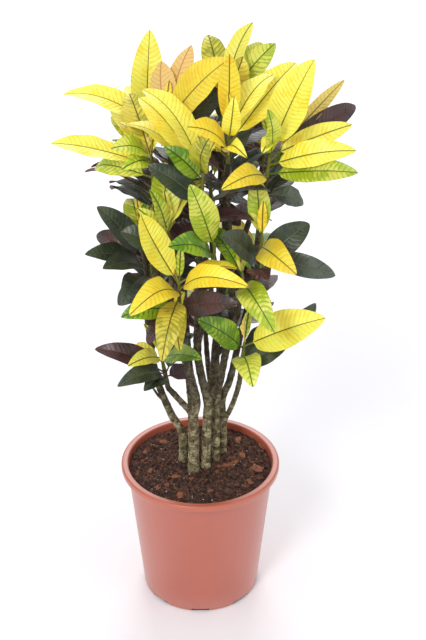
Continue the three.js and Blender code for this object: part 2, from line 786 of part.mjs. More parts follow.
function potProfile() {
  const top = POT.height;
  const lip = top - POT.rimDepth;
  const step = top - POT.stepBelowRim;
  const inner = (z) => wallRadius(z) - POT.wall;
  const floor = POT.channelRise + POT.floor;
  return [
    [0, 0],
    [POT.channelInner, 0],
    [POT.channelInner + POT.channelSlope, POT.channelRise],
    [POT.channelOuter - POT.channelSlope, POT.channelRise],
    [POT.channelOuter, 0],
    [POT.footRadius - POT.footRound * 0.6, 0],
    [POT.footRadius, POT.footRound],
    [wallRadius(step), step],
    [wallRadius(step) + POT.stepWidth, step + POT.stepSlope],
    [wallRadius(lip) + POT.stepWidth, lip],
    [POT.rimRadius - POT.lipRound / 2, lip],
    [POT.rimRadius, lip + POT.lipRound],
    [POT.rimRadius, top - POT.lipRound],
    [POT.rimRadius - POT.lipRound, top],
    [inner(top) + POT.lipRound, top],
    [inner(top), top - POT.lipRound],
    [inner(floor), floor],
    [0, floor],
  ].map(([r, z]) => new THREE.Vector2(r, z));
}

// Lathe turns about Y, so the profile's height is laid along Z.
function turned(profile) {
  return new THREE.LatheGeometry(profile, POT.sides).rotateX(Math.PI / 2);
}

function makePot() {
  let pot = solidFromGeometry(turned(potProfile()));
  for (let i = 0; i < DRAIN.count; i++) {
    const slot = new THREE.BoxGeometry(DRAIN.depth, DRAIN.width, 2 * DRAIN.height);
    slot.translate(POT.footRadius - DRAIN.depth / 4, 0, 0).rotateZ((i / DRAIN.count) * 2 * Math.PI);
    pot = pot.subtract(solidFromGeometry(slot));
  }
  return pot;
}

function stemPath({ path, carries }) {
  return smoothPath([...path, ...(carries ? [HEADS[carries].foot] : [])].map(vec));
}

// The end of a branch lies square to the shoot that it carries, so that the two meet face to face.
function makeBranch(branch, sides) {
  const endFacing = branch.carries && shootOf(HEADS[branch.carries]).down.negate();
  return tube(stemPath(branch), branch.radii, sides, endFacing);
}

function makeSoil() {
  const inner = (z) => wallRadius(z) - POT.wall - FIT_GAP;
  const floor = POT.channelRise + POT.floor + FIT_GAP;
  const top = SOIL.mound.map(({ radius, rise }) => [
    inner(SOIL.edge) * radius,
    lerp(SOIL.edge, SOIL.crown, rise),
  ]);
  const profile = [[0, floor], [inner(floor), floor], ...top];
  let soil = solidFromGeometry(turned(profile.map(([r, z]) => new THREE.Vector2(r, z))));
  for (const { trunk } of Object.values(STEMS)) {
    const [x, y, z] = trunk.path[0];
    const bottom = new THREE.Vector3(x, y, z - FIT_GAP);
    const mouth = new THREE.Vector3(x, y, POT.height);
    const radius = trunk.radii[0] + HOLE_CLEARANCE;
    soil = soil.subtract(tube([bottom, mouth], [radius, radius], STEM_SIDES));
  }
  return soil;
}

function makeStem({ trunk, branches }) {
  return branches.reduce(
    (stem, branch) => stem.add(makeBranch(branch, SHOOT_SIDES)),
    makeBranch(trunk, STEM_SIDES),
  );
}

function makeTier(name, head, tier, leaves) {
  const shoot = shootOf(head);
  const reach = shoot.foot.distanceTo(shoot.tip);
  const half = FIT_GAP / 2;
  const young = tier === "young";
  const span = young ? [head.split - half, 0] : [reach - FIT_GAP, head.split + half];
  const radii = young ? [SHOOT_RADII.split, SHOOT_RADII.tip] : [SHOOT_RADII.foot, SHOOT_RADII.split];
  let solid = tube(span.map(shoot.at), radii, SHOOT_SIDES);
  for (const leaf of leaves) {
    if (leaf.node === `${tier}_${name}`) solid = solid.add(leafSolid(leaf));
  }
  return solid;
}

function allWood() {
  const wood = [];
  for (const [name, { trunk, branches }] of Object.entries(STEMS)) {
    for (const branch of [trunk, ...branches]) {
      wood.push(...woodBalls(stemPath(branch), branch.radii, name));
    }
  }
  for (const [name, head] of Object.entries(HEADS)) {
    const { foot, tip, at } = shootOf(head);
    const split = at(head.split);
    wood.push(...woodBalls([foot, split], [SHOOT_RADII.foot, SHOOT_RADII.split], `mature_${name}`));
    wood.push(...woodBalls([split, tip], [SHOOT_RADII.split, SHOOT_RADII.tip], `young_${name}`));
  }
  return wood;
}

add("pot", makePot(), "pot");
add("soil", makeSoil(), "soil");
for (const [name, stem] of Object.entries(STEMS)) add(name, makeStem(stem), "bark");

const leaves = growLeaves(allWood());
for (const [name, head] of Object.entries(HEADS)) {
  add(`mature_${name}`, makeTier(name, head, "mature", leaves), "mature");
  add(`young_${name}`, makeTier(name, head, "young", leaves), "young");
}

export default plant;
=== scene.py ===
"""A croton in a nursery pot: the moulded pot, the potting soil, seven woody stems and twenty leafy heads.

Lengths in the settings are in metres. The places of stems and heads are in millimetres in the part's own
frame, +Z up, with the origin in the middle of the pot's flat underside."""

import math
from dataclasses import dataclass, field, replace

import bmesh
import bpy
import numpy as np
from bpy.props import CollectionProperty, FloatProperty, FloatVectorProperty, IntProperty, PointerProperty
from bpy.types import Operator, Panel, PropertyGroup
from mathutils import Matrix, Vector, noise


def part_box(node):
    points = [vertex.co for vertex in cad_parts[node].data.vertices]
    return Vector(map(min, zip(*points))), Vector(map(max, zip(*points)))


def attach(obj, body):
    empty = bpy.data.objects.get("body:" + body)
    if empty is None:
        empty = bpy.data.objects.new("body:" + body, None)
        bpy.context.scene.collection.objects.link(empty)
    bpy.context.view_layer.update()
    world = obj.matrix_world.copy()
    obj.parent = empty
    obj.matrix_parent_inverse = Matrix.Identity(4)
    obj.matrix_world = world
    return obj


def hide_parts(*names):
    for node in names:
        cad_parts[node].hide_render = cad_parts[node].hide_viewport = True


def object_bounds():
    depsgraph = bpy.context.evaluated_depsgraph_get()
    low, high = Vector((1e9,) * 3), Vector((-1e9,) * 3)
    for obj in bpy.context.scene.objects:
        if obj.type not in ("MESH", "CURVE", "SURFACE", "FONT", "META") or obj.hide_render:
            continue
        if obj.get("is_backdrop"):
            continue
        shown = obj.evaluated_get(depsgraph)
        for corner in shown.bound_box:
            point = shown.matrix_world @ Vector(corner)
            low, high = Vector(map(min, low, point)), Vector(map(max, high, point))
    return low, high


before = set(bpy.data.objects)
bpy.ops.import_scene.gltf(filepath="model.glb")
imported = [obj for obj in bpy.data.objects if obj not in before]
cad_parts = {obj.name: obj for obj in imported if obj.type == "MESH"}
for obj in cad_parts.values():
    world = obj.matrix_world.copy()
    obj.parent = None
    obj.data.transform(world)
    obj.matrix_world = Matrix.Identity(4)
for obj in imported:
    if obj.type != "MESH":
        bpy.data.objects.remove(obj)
CAD_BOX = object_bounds()
POT_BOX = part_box("pot")
SOIL_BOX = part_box("soil")

bl_info = {
    "name": "Potted Croton",
    "version": (1, 0, 0),
    "blender": (4, 5, 0),
    "location": "View3D > Sidebar > Croton",
    "description": "Builds a potted croton with veined leaves, rough bark, soil and a moulded pot",
    "category": "Add Mesh",
}

MM = 0.001

# How much the pot's wall widens for each unit of height, and how high the soil's edge lies, in millimetres.
WALL_SLOPE = 0.1018
SOIL_EDGE = 240

# ---------------------------------------------------------------- where the plant grows

# Each stem is its trunk and then its branches: the head that it carries, its radii from foot to end, and
# its path, which a carried head's foot completes.
STEMS = {
    "stem_front": [
        ("low_front", (10, 5), [
            (-11, -26, 158), (-11, -26, 242), (-11, -27, 311), (-11, -27, 358), (-6, -28, 385),
            (-9, -33, 413), (-19, -41, 462), (-30, -54, 508),
        ]),
        ("low_left", (6.2, 4.6), [(-11, -27, 352), (-17, -28, 370), (-34, -30, 393)]),
        ("front_left", (4.8, 4.4), [(-30, -54, 508), (-44, -46, 560), (-44, -47, 600)]),
    ],
    "stem_left": [
        ("middle_left", (7.4, 4.6), [
            (-30, 6, 158), (-30, 6, 242), (-31, 4, 304), (-46, 2, 338), (-59, 1, 373), (-71, 3, 412),
            (-80, 10, 470), (-86, 16, 540),
        ]),
        ("upper_left", (4.8, 4.4), [(-80, 10, 470), (-72, 0, 560), (-65, -4, 640)]),
        (None, (2.6, 1.8), [(-58, 1, 371), (-68, -6, 384), (-78, -10, 404)]),
    ],
    "stem_middle": [
        ("top_front", (8.6, 5), [
            (9, -15, 158), (9, -15, 242), (11, -14, 322), (13, -12, 375), (4, -10, 419),
            (-4, -12, 478), (-2, -20, 560), (0, -30, 640),
        ]),
        ("front_middle", (4.8, 4.4), [(-4, -12, 478), (4, -30, 530), (13, -44, 570)]),
    ],
    "stem_right": [
        ("top_right", (7.6, 5), [
            (26, 10, 158), (26, 10, 242), (26, 8, 307), (28, 4, 371), (32, 0, 403), (40, -4, 454),
            (49, -6, 515), (52, -5, 573), (49, -7, 660),
        ]),
        ("low_middle", (4.6, 4.4), [(49, -6, 515), (56, -26, 538)]),
    ],
    "stem_far_right": [
        ("middle_right", (7.2, 4.8), [
            (38, 32, 158), (38, 32, 242), (39, 30, 292), (37, 26, 356), (47, 22, 389), (55, 20, 425),
            (68, 10, 500), (80, -8, 560),
        ]),
        ("upper_right", (4.8, 4.4), [(68, 10, 500), (80, 16, 560), (89, 15, 630)]),
        ("low_right", (4.4, 4.2), [(38, 28, 308), (45, 26, 324), (54, 10, 357), (63, -10, 403)]),
    ],
    "stem_back_left": [
        ("top_left", (9, 5), [
            (-8, 36, 158), (-8, 36, 242), (-12, 38, 320), (-20, 44, 420), (-26, 50, 520),
            (-30, 52, 620), (-34, 54, 690),
        ]),
        ("back_left_top", (4.8, 4.4), [(-26, 50, 520), (-40, 64, 565), (-60, 80, 630)]),
        ("back_left_low", (4.8, 4.4), [(-20, 44, 420), (-38, 58, 450), (-58, 72, 480)]),
    ],
    "stem_back_right": [
        ("top_back", (9, 5), [
            (16, 46, 158), (16, 46, 242), (20, 50, 330), (26, 56, 430), (34, 58, 540), (42, 60, 660),
            (36, 62, 730),
        ]),
        ("back_right_top", (4.8, 4.4), [(34, 58, 540), (54, 68, 590), (76, 82, 650)]),
        ("back_right_low", (4.8, 4.4), [(26, 56, 430), (46, 60, 446), (66, 66, 468)]),
        ("back_middle", (4.6, 4.4), [(34, 58, 540), (27, 82, 570), (21, 102, 602)]),
        ("back_low", (4.6, 4.4), [(20, 50, 330), (17, 68, 362), (13, 82, 394)]),
    ],
}


@dataclass
class Head:
    """One leafy end of a branch. Its shoot runs from foot to tip, and its mature leaves begin `split` below
    the tip. Each row of `leaves` is a leaf given one by one: its look, how far below the tip it grows, where
    its own tip lies, its width, its arch and its roll in degrees. `young` and `mature` are how many more
    leaves the spiral tries to add, and `turn` is where the spiral starts."""

    foot: tuple
    tip: tuple
    split: float
    young: int
    mature: int
    turn: float
    leaves: list = field(default_factory=list)

    def __post_init__(self):
        self.foot = np.array(self.foot, float)
        self.tip = np.array(self.tip, float)
        self.reach = np.linalg.norm(self.foot - self.tip)
        self.down = (self.foot - self.tip) / self.reach

    def at(self, drop):
        """The point of the shoot that lies `drop` below its tip."""
        return self.tip + self.down * drop


HEADS = {
    "top_left": Head(
        foot=(-40, 55, 746), tip=(-52, 60, 860), split=52, young=4, mature=6, turn=200,
        leaves=[
            ("amber", 16, (46, 10, 967), 62, 12, 0),
            ("gold", 34, (-210, 80, 884), 46, 25, 20),
            ("dark", 62, (40, 84, 900), 40, 8, 0),
            ("salmon", 8, (-58, 110, 927), 48, -8, 150),
            ("salmon", 12, (-12, 130, 946), 42, -10, 160),
        ],
    ),
    "top_back": Head(
        foot=(34, 62, 782), tip=(38, 70, 892), split=52, young=4, mature=6, turn=20,
        leaves=[
            ("olive", 14, (14, 150, 956), 40, 16, 0),
            ("gold", 10, (83, 120, 986), 36, 14, -20),
            ("lime", 20, (118, 110, 956), 44, 12, 0),
            ("lime", 34, (98, 150, 943), 44, 14, 10),
            ("ochre", 16, (67, 60, 953), 44, 8, 30),
        ],
    ),
    "top_right": Head(
        foot=(42, -12, 748), tip=(46, -20, 865), split=54, young=2, mature=6, turn=70,
        leaves=[
            ("amber", 10, (46, -20, 985), 34, -10, 0),
            ("amber", 30, (-15, -84, 898), 44, 14, 0),
            ("gold", 14, (52, -84, 945), 28, 10, 30),
            ("gold", 40, (71, -108, 860), 26, 22, 0),
            ("gold", 22, (150, 100, 928), 54, 14, 0),
        ],
    ),
    "upper_right": Head(
        foot=(95, 8, 702), tip=(112, 12, 835), split=60, young=2, mature=6, turn=300,
        leaves=[
            ("gold", 16, (168, -44, 986), 62, 8, 0),
            ("lime", 26, (101, -66, 918), 30, 10, 0),
            ("gold", 4, (95, -42, 838), 24, 14, 0),
            ("gold", 24, (232, 10, 863), 36, 20, 20),
            ("gold", 40, (236, -34, 839), 42, 20, 10),
            ("lime", 54, (236, -78, 823), 40, 10, 10),
            ("maroon", 26, (245, 100, 858), 38, 28, 20),
            ("sage", 88, (164, 30, 722), 34, 10, 0),
            ("salmon", 34, (226, 100, 900), 24, 16, 10),
            ("amber", 58, (34, -86, 799), 38, 22, -10),
        ],
    ),
    "top_front": Head(
        foot=(2, -39, 708), tip=(7, -50, 820), split=50, young=3, mature=6, turn=120,
        leaves=[
            ("gold", 14, (-90, 18, 903), 62, 14, 24),
            ("olive", 10, (16, -112, 892), 44, 12, 20),
            ("green", 24, (-49, -90, 870), 34, 14, -10),
            ("dark", 62, (-74, -96, 843), 40, 16, -10),
        ],
    ),
    "upper_left": Head(
        foot=(-66, -5, 717), tip=(-72, -10, 825), split=48, young=3, mature=4, turn=90,
        leaves=[
            ("gold", 20, (-222, -20, 845), 44, 8, 20),
            ("lime", 12, (-127, -84, 864), 40, 18, 0),
            ("lime", 30, (-112, -100, 838), 36, 22, 0),
            ("ochre", 10, (-108, 83, 884), 46, 14, 0),
            ("lime", 42, (-163, 51, 773), 36, 18, 0),
            ("dark", 62, (-171, 70, 766), 30, 14, 60),
            ("dark", 74, (-183, 91, 748), 36, 14, 60),
            ("sage", 86, (-143, 79, 734), 38, 12, 40),
        ],
    ),
    "front_left": Head(
        foot=(-42, -50, 642), tip=(-47, -62, 725), split=42, young=2, mature=5, turn=30,
        leaves=[
            ("lime", 8, (-53, -10, 810), 44, 10, 0),
            ("lime", 18, (-73, -74, 795), 24, 8, 20),
            ("lime", 28, (-91, -94, 773), 26, 10, 0),
            ("dark", 50, (-118, -70, 722), 44, 12, 0),
        ],
    ),
    "front_middle": Head(
        foot=(18, -50, 602), tip=(25, -62, 700), split=46, young=3, mature=6, turn=250,
        leaves=[
            ("lime", 14, (-13, -95, 812), 46, 8, 0),
            ("green", 26, (-44, -138, 731), 44, 18, 0),
        ],
    ),
    "middle_left": Head(
        foot=(-84, 18, 592), tip=(-94, 20, 690), split=46, young=4, mature=5, turn=160,
        leaves=[
            ("sage", 56, (-158, -10, 735), 42, 12, 0),
            ("maroon", 62, (-166, 60, 652), 40, 12, 0),
            ("dark", 70, (-175, -60, 678), 38, 14, 0),
            ("dark", 80, (-146, -90, 669), 40, 16, 0),
            ("sage", 90, (-117, -92, 610), 40, 18, 0),
        ],
    ),
    "low_front": Head(
        foot=(-31, -64, 554), tip=(-30, -82, 645), split=46, young=2, mature=5, turn=350,
        leaves=[
            ("gold", 10, (-84, -120, 775), 46, -10, 0),
            ("amber", 24, (-102, -187, 642), 46, 32, 0),
            ("amber", 18, (74, -160, 676), 42, 36, 0),
            ("ochre", 34, (-55, -190, 564), 42, 34, 0),
            ("ochre", 42, (-28, -172, 572), 34, 26, 10),
            ("maroon", 54, (60, -150, 642), 40, 20, 20),
            ("green", 60, (-118, -130, 607), 40, 18, 0),
            ("maroon", 70, (-80, -128, 560), 36, 18, 0),
        ],
    ),
    "middle_right": Head(
        foot=(88, -21, 602), tip=(98, -30, 695), split=44, young=3, mature=5, turn=220,
        leaves=[
            ("dark", 52, (170, -30, 716), 46, 16, 10),
            ("amber", 20, (146, -140, 686), 46, 24, 20),
            ("sage", 34, (212, -50, 636), 36, 32, 20),
            ("lime", 8, (87, 0, 782), 36, 8, 0),
            ("dark", 56, (32, -96, 728), 50, 12, 0),
            ("maroon", 80, (105, -120, 665), 38, 18, 0),
        ],
    ),
    "low_middle": Head(
        foot=(61, -42, 562), tip=(68, -62, 645), split=42, young=2, mature=5, turn=100,
        leaves=[
            ("lime", 16, (114, -168, 602), 44, 36, 10),
        ],
    ),
    "low_right": Head(
        foot=(66, -25, 434), tip=(72, -52, 520), split=44, young=1, mature=2, turn=40,
        leaves=[
            ("gold", 14, (195, -96, 586), 62, 16, 10),
            ("green", 20, (-3, -100, 586), 44, 14, -10),
            ("dark", 60, (138, -80, 526), 36, 16, 10),
            ("dark", 58, (190, 33, 540), 36, 26, 30),
            ("lime", 38, (84, -128, 480), 46, 22, 0),
        ],
    ),
    "low_left": Head(
        foot=(-52, -30, 417), tip=(-63, -34, 488), split=34, young=1, mature=1, turn=280,
        leaves=[
            ("maroon", 42, (-167, -56, 506), 38, 28, 0),
            ("gold", 12, (-112, -98, 500), 30, 12, 0),
            ("ochre", 20, (-112, 20, 458), 30, 12, 0),
            ("dark", 44, (-130, -98, 462), 34, 24, 0),
            ("dark", 54, (-88, -100, 455), 32, 16, 0),
            ("green", 14, (4, -130, 532), 36, 12, 0),
            ("maroon", 50, (-20, 22, 413), 34, 6, 0),
        ],
    ),
    "back_left_top": Head(
        foot=(-74, 90, 692), tip=(-86, 106, 795), split=48, young=5, mature=6, turn=0,
        leaves=[
            ("gold", 4, (-76, 130, 971), 52, 10, 0),
        ],
    ),
    "back_right_top": Head(
        foot=(92, 92, 702), tip=(108, 108, 805), split=48, young=5, mature=6, turn=60,
    ),
    "back_middle": Head(
        foot=(18, 117, 634), tip=(18, 140, 730), split=46, young=5, mature=5, turn=140,
        leaves=[
            ("dark", 56, (-28, 66, 586), 38, 10, 0),
            ("maroon", 62, (66, 60, 668), 38, 10, 0),
        ],
    ),
    "back_left_low": Head(
        foot=(-70, 82, 512), tip=(-84, 98, 600), split=44, young=4, mature=5, turn=210,
        leaves=[
            ("sage", 50, (-136, 60, 522), 38, 12, 0),
        ],
    ),
    "back_right_low": Head(
        foot=(80, 70, 494), tip=(98, 84, 584), split=44, young=4, mature=6, turn=320,
    ),
    "back_low": Head(
        foot=(10, 93, 430), tip=(6, 114, 515), split=44, young=4, mature=6, turn=80,
    ),
}


# ---------------------------------------------------------------- how the leaves grow

# The shape that all leaves share: the stalk as a share of the length, how far both halves fold up, and the
# wave of the edges in millimetres, with how many waves there are and how far they turn from edge to edge.
PETIOLE = 0.13
LEAF_FOLD = math.radians(13)
EDGE_WAVE = 1.8
WAVES_ALONG = 1.6
WAVE_TWIST = 1.3

# At u from root to tip the midrib stands off its chord by arch * u (1 - u) (2 + 3.4 u), and its slope is
# arch * (2 + 2.8 u - 10.2 u^2).
ARCH_CURVE = (2, 3.4)
ARCH_SLOPE = (2, 2.8, 10.2)

# Powers that shape the outline: the first moves its widest place, and the second makes it fuller.
OUTLINE_PLACE = 0.95
OUTLINE_FULLNESS = 0.66

ROOM_LIGHT = np.array((0, -0.64, 0.77))
SKY_LIGHT = np.array((0, 0, 1.0))

# How far a leaf keeps from other leaves, from those of its own head, and from wood. Near its own stem,
# within NEAR_HOME of the head's foot, only its outer part has to keep clear.
CLEAR_OF_LEAF = 6
CLEAR_IN_HEAD = 3.5
CLEAR_OF_STEM = 3.5
NEAR_HOME = 26
GOLDEN_ANGLE = 137.5
SEED = 131

# A leaf as rows of beads on its blade, and wood as rows of balls.
BEAD_ROWS = 18
BEADS_ACROSS = np.array([-1, -0.66, -0.33, 0, 0.33, 0.66, 1])
BEAD_START = 0.15
OUTER_PART = 0.35
BALL_SPACING = 6

MATURE_LOOKS = ["dark", "maroon", "sage"]
YOUNG_LOOKS = ["gold", "gold", "amber", "lime", "gold", "green"]

# How the spiral's leaves stand, from the topmost to the lowest of each tier: their rise in degrees, their
# length, and their width and arch as shares of it. `start` is the heading of a tier's first leaf.
SPIRAL = {
    "bud": {"count": 2, "start": 90, "rise": (76, 66), "length": 56, "width": 0.26, "arch": 0.06},
    "young": {"start": 0, "rise": (42, 8), "length": 134, "width": 0.37, "arch": 0.14},
    "mature": {"start": 60, "rise": (24, -10), "length": 122, "width": 0.4, "arch": 0.12},
}

# How far below the tip of its shoot a leaf of the spiral grows. The young ones end this far above the
# split, and the mature ones reach from below the split to above the foot.
DROPS = {"bud": 2, "bud_step": 4, "young": 5, "above_split": 9, "below_split": 11, "above_foot": 8}

# How much these vary at random, the length as a share of itself and the others in degrees.
SCATTER = {"length": 0.24, "heading": 16, "rise": 12, "roll": 24}

# What a leaf tries, in turn, when it meets another one: a leaf given one by one leans away from or towards
# EYE, and a leaf of the spiral turns about its shoot and rises or drops, first in full length and then
# shorter.
EYE = np.array((22, -2100, 1735.0))
LEANS = [0, 10, -10, 20, -20, 30, -30, 42, -42]
SWINGS = [
    (0, 0), (14, 0), (-14, 0), (0, 10), (0, -10), (26, 6), (-26, 6), (26, -10), (-26, -10),
    (40, 0), (-40, 0), (8, 20), (-8, -20), (56, 8), (-56, 8), (70, -6), (-70, -6),
]
SHORTER = [1, 0.74]

# How far the crown reaches to the left and to the right at each height. A spiral leaf whose tip would lie
# past that looks for another place, and so does one that would reach more than KEPT_FREE in front of its
# root in a head that has leaves listed one by one.
CROWN_HEIGHTS = [450, 620, 700, 800, 880, 950]
CROWN_LEFT = [-108, -122, -148, -150, -120, -90]
CROWN_RIGHT = [132, 136, 152, 200, 180, 106]
CROWN_TOP = 930
KEPT_FREE = 12

# Radii of every shoot, and the gap that it keeps from the branch and between its young and mature parts.
SHOOT_RADII = {"foot": 4.4, "split": 3.4, "tip": 2.2}
FIT_GAP = 0.3


def unit(vector):
    return vector / np.linalg.norm(vector)


def lerp(start, end, share):
    return start + (end - start) * share


def seeded_draws(seed):
    """Draws between 0 and 1, the same on every run."""
    mask, stride = 0xFFFFFFFF, 0x6D2B79F5
    state = seed & mask

    def draw():
        nonlocal state
        state = (state + stride) & mask
        mixed = (state ^ (state >> 15)) * (1 | state) & mask
        mixed = (mixed + ((mixed ^ (mixed >> 7)) * (61 | mixed) & mask) & mask) ^ mixed
        return (mixed ^ (mixed >> 14)) / (mask + 1)

    return draw


@dataclass
class Leaf:
    """A leaf: where it grows, where its tip lies, and how its blade is shaped. One that the spiral adds has
    a heading, a rise and a length, from which its tip is worked out."""

    node: str
    look: str
    root: np.ndarray
    width: float
    arch: float
    roll: float
    phase: float
    light: np.ndarray
    tip: np.ndarray = None
    heading: float = 0
    rise: float = 0
    length: float = 0

    def frame(self):
        """The chord from root to tip, the way the upper side looks, and the way to the right."""
        chord = self.tip - self.root
        along = unit(chord)
        level = unit(self.light - along * along.dot(self.light))
        right = np.cross(along, level)
        roll = math.radians(self.roll)
        face = level * math.cos(roll) + right * math.sin(roll)
        return chord, face, np.cross(along, face)

    def midrib(self, u):
        """Points of the midrib, the direction along it, and the blade's normal there."""
        chord, face, _ = self.frame()
        u = np.asarray(u)[..., None]
        level, rise, droop = ARCH_SLOPE
        slope = level + rise * u - droop * u * u
        along = chord + face * self.arch * slope
        along = along / np.linalg.norm(along, axis=-1, keepdims=True)
        normal = face - along * (along @ face)[..., None]
        normal = normal / np.linalg.norm(normal, axis=-1, keepdims=True)
        low, high = ARCH_CURVE
        point = self.root + chord * u + face * self.arch * u * (1 - u) * (low + high * u)
        return point, along, normal

    def surface(self, u, k):
        """Points of the blade's middle surface at u from root to tip and k from the left edge (-1) to the
        right edge (1), and the normals there."""
        _, _, side = self.frame()
        point, _, normal = self.midrib(u)
        outline = leaf_outline(u)
        half = self.width / 2 * outline
        wave = EDGE_WAVE * outline * np.sin(2 * np.pi * (WAVES_ALONG * u + self.phase) + WAVE_TWIST * k)
        lift = np.abs(k) * (half * math.tan(LEAF_FOLD) + wave)
        return point + side * (half * k)[..., None] + normal * lift[..., None], normal


def leaf_outline(u):
    """Half the blade's width as a share of its greatest half width."""
    blade = np.clip((np.asarray(u) - PETIOLE) / (1 - PETIOLE), 0, 1)
    return np.sin(np.pi * blade**OUTLINE_PLACE).clip(0) ** OUTLINE_FULLNESS


class Beads:
    """The beads that stand for one leaf while others look for room."""

    def __init__(self, leaf):
        u = lerp(BEAD_START, 1, np.arange(BEAD_ROWS) / (BEAD_ROWS - 1))
        u, k = np.meshgrid(u, BEADS_ACROSS, indexing="ij")
        self.at = leaf.surface(u, k)[0].reshape(-1, 3)
        self.outer = (u > OUTER_PART).ravel()
        self.low = self.at.min(0)
        self.high = self.at.max(0)
        self.node = leaf.node

    def meets(self, other):
        same = self.node == other.node
        gap = CLEAR_IN_HEAD if same else CLEAR_OF_LEAF
        if (self.low - gap > other.high).any() or (self.high + gap < other.low).any():
            return False
        mine = self.at[self.outer] if same else self.at
        theirs = other.at[other.outer] if same else other.at
        return bool((squared_distances(mine, theirs) < gap**2).any())


def squared_distances(a, b):
    return ((a[:, None, :] - b[None, :, :]) ** 2).sum(-1)


def smooth_path(points):
    """The points with one more halfway along each stretch, by the four-point rule, whose weights are 9/16
    for the two nearest points and -1/16 for the next two."""
    path = []
    for i in range(len(points) - 1):
        a, b = points[i], points[i + 1]
        before = points[i - 1] if i else a
        after = points[i + 2] if i + 2 < len(points) else b
        path += [a, (a + b) * 9 / 16 - (before + after) / 16]
    return np.array([*path, points[-1]])


def branch_path(carries, points):
    """The path of a branch, up to the foot of the head that it carries."""
    ends = [HEADS[carries].foot] if carries else []
    return smooth_path([np.array(p, float) for p in [*points, *ends]])


def wood_balls(path, radii, owner):
    """Centres, radii and owners of a row of balls along a path."""
    balls = []
    for i in range(len(path) - 1):
        steps = math.ceil(np.linalg.norm(path[i + 1] - path[i]) / BALL_SPACING)
        for s in range(steps):
            radius = lerp(radii[0], radii[1], (i + s / steps) / (len(path) - 1))
            balls.append((lerp(path[i], path[i + 1], s / steps), radius, owner))
    return [*balls, (path[-1], radii[1], owner)]


class Wood:
    """All stems and shoots, which leaves keep clear of."""

    def __init__(self):
        balls = []
        for name, branches in STEMS.items():
            for carries, radii, points in branches:
                balls += wood_balls(branch_path(carries, points), radii, name)
        for name, head in HEADS.items():
            split = head.at(head.split)
            foot, middle, tip = SHOOT_RADII["foot"], SHOOT_RADII["split"], SHOOT_RADII["tip"]
            balls += wood_balls(np.array([head.foot, split]), (foot, middle), f"mature_{name}")
            balls += wood_balls(np.array([split, head.tip]), (middle, tip), f"young_{name}")
        self.at = np.array([ball[0] for ball in balls])
        self.limits = np.array([ball[1] + CLEAR_OF_STEM for ball in balls]) ** 2
        self.owners = np.array([ball[2] for ball in balls])

    def meets(self, leaf, home):
        reach = self.limits.max() ** 0.5
        around = ((self.at > leaf.low - reach) & (self.at < leaf.high + reach)).all(1)
        at = self.at[around]
        near = (self.owners[around] == leaf.node) | (np.linalg.norm(at - home, axis=1) < NEAR_HOME)
        close = squared_distances(leaf.at, at) < self.limits[around]
        return bool((close & (leaf.outer[:, None] | ~near)).any())


def hand_leaf(name, head, row, draw):
    look, drop, tip, width, arch, roll = row
    tier = "young" if drop < head.split else "mature"
    return Leaf(
        node=f"{tier}_{name}", look=look, root=head.at(drop), width=width, arch=arch, roll=roll,
        phase=draw(), light=ROOM_LIGHT, tip=np.array(tip, float),
    )


def open_side(head, heading):
    """Leaves listed one by one fill the front of a head, so its spiral keeps to the back."""
    faces_front = math.sin(math.radians(heading)) < 0
    return -heading if head.leaves and faces_front else heading


def spiral_leaf(name, head, tier, index, count, draw):
    rule = SPIRAL[tier]
    looks = MATURE_LOOKS if tier == "mature" else YOUNG_LOOKS
    share = index / (count - 1) if count > 1 else 0
    drop = {
        "bud": DROPS["bud"] + DROPS["bud_step"] * index,
        "young": lerp(DROPS["young"], head.split - DROPS["above_split"], share),
        "mature": lerp(head.split + DROPS["below_split"], head.reach - DROPS["above_foot"], share),
    }[tier]

    def scattered(width):
        return width * (draw() - 0.5)

    length = rule["length"] * (1 + scattered(SCATTER["length"]))
    look = looks[int(draw() * len(looks))]
    heading = head.turn + rule["start"] + index * GOLDEN_ANGLE + scattered(SCATTER["heading"])
    return Leaf(
        node=f"{'mature' if tier == 'mature' else 'young'}_{name}",
        look=look,
        root=head.at(drop),
        heading=open_side(head, heading),
        rise=lerp(*rule["rise"], share) + scattered(SCATTER["rise"]),
        length=length,
        width=length * rule["width"],
        arch=length * rule["arch"],
        roll=scattered(SCATTER["roll"]),
        phase=draw(),
        light=SKY_LIGHT,
    )


def tries(leaf):
    """The leaf in each place that it tries, in turn."""
    if leaf.tip is not None:
        sight = unit(leaf.tip - EYE)
        for lean in LEANS:
            yield replace(leaf, tip=leaf.tip + sight * lean)
        return
    for share in SHORTER:
        length, width, arch = leaf.length * share, leaf.width * share, leaf.arch * share
        for turn, lift in SWINGS:
            heading = math.radians(leaf.heading + turn)
            rise = math.radians(leaf.rise + lift)
            level = math.cos(rise)
            along = np.array((math.cos(heading) * level, math.sin(heading) * level, math.sin(rise)))
            tip = leaf.root + along * length
            yield replace(leaf, length=length, width=width, arch=arch, tip=tip)


def past_crown(leaf, head):
    """Whether a spiral leaf reaches past the crown, or in front of leaves that were listed one by one."""
    x, y, z = leaf.tip
    left, right = (np.interp(z, CROWN_HEIGHTS, side) for side in (CROWN_LEFT, CROWN_RIGHT))
    in_front = head.leaves and y < leaf.root[1] - KEPT_FREE
    return bool(leaf.length and (in_front or z > CROWN_TOP or x < left or x > right))


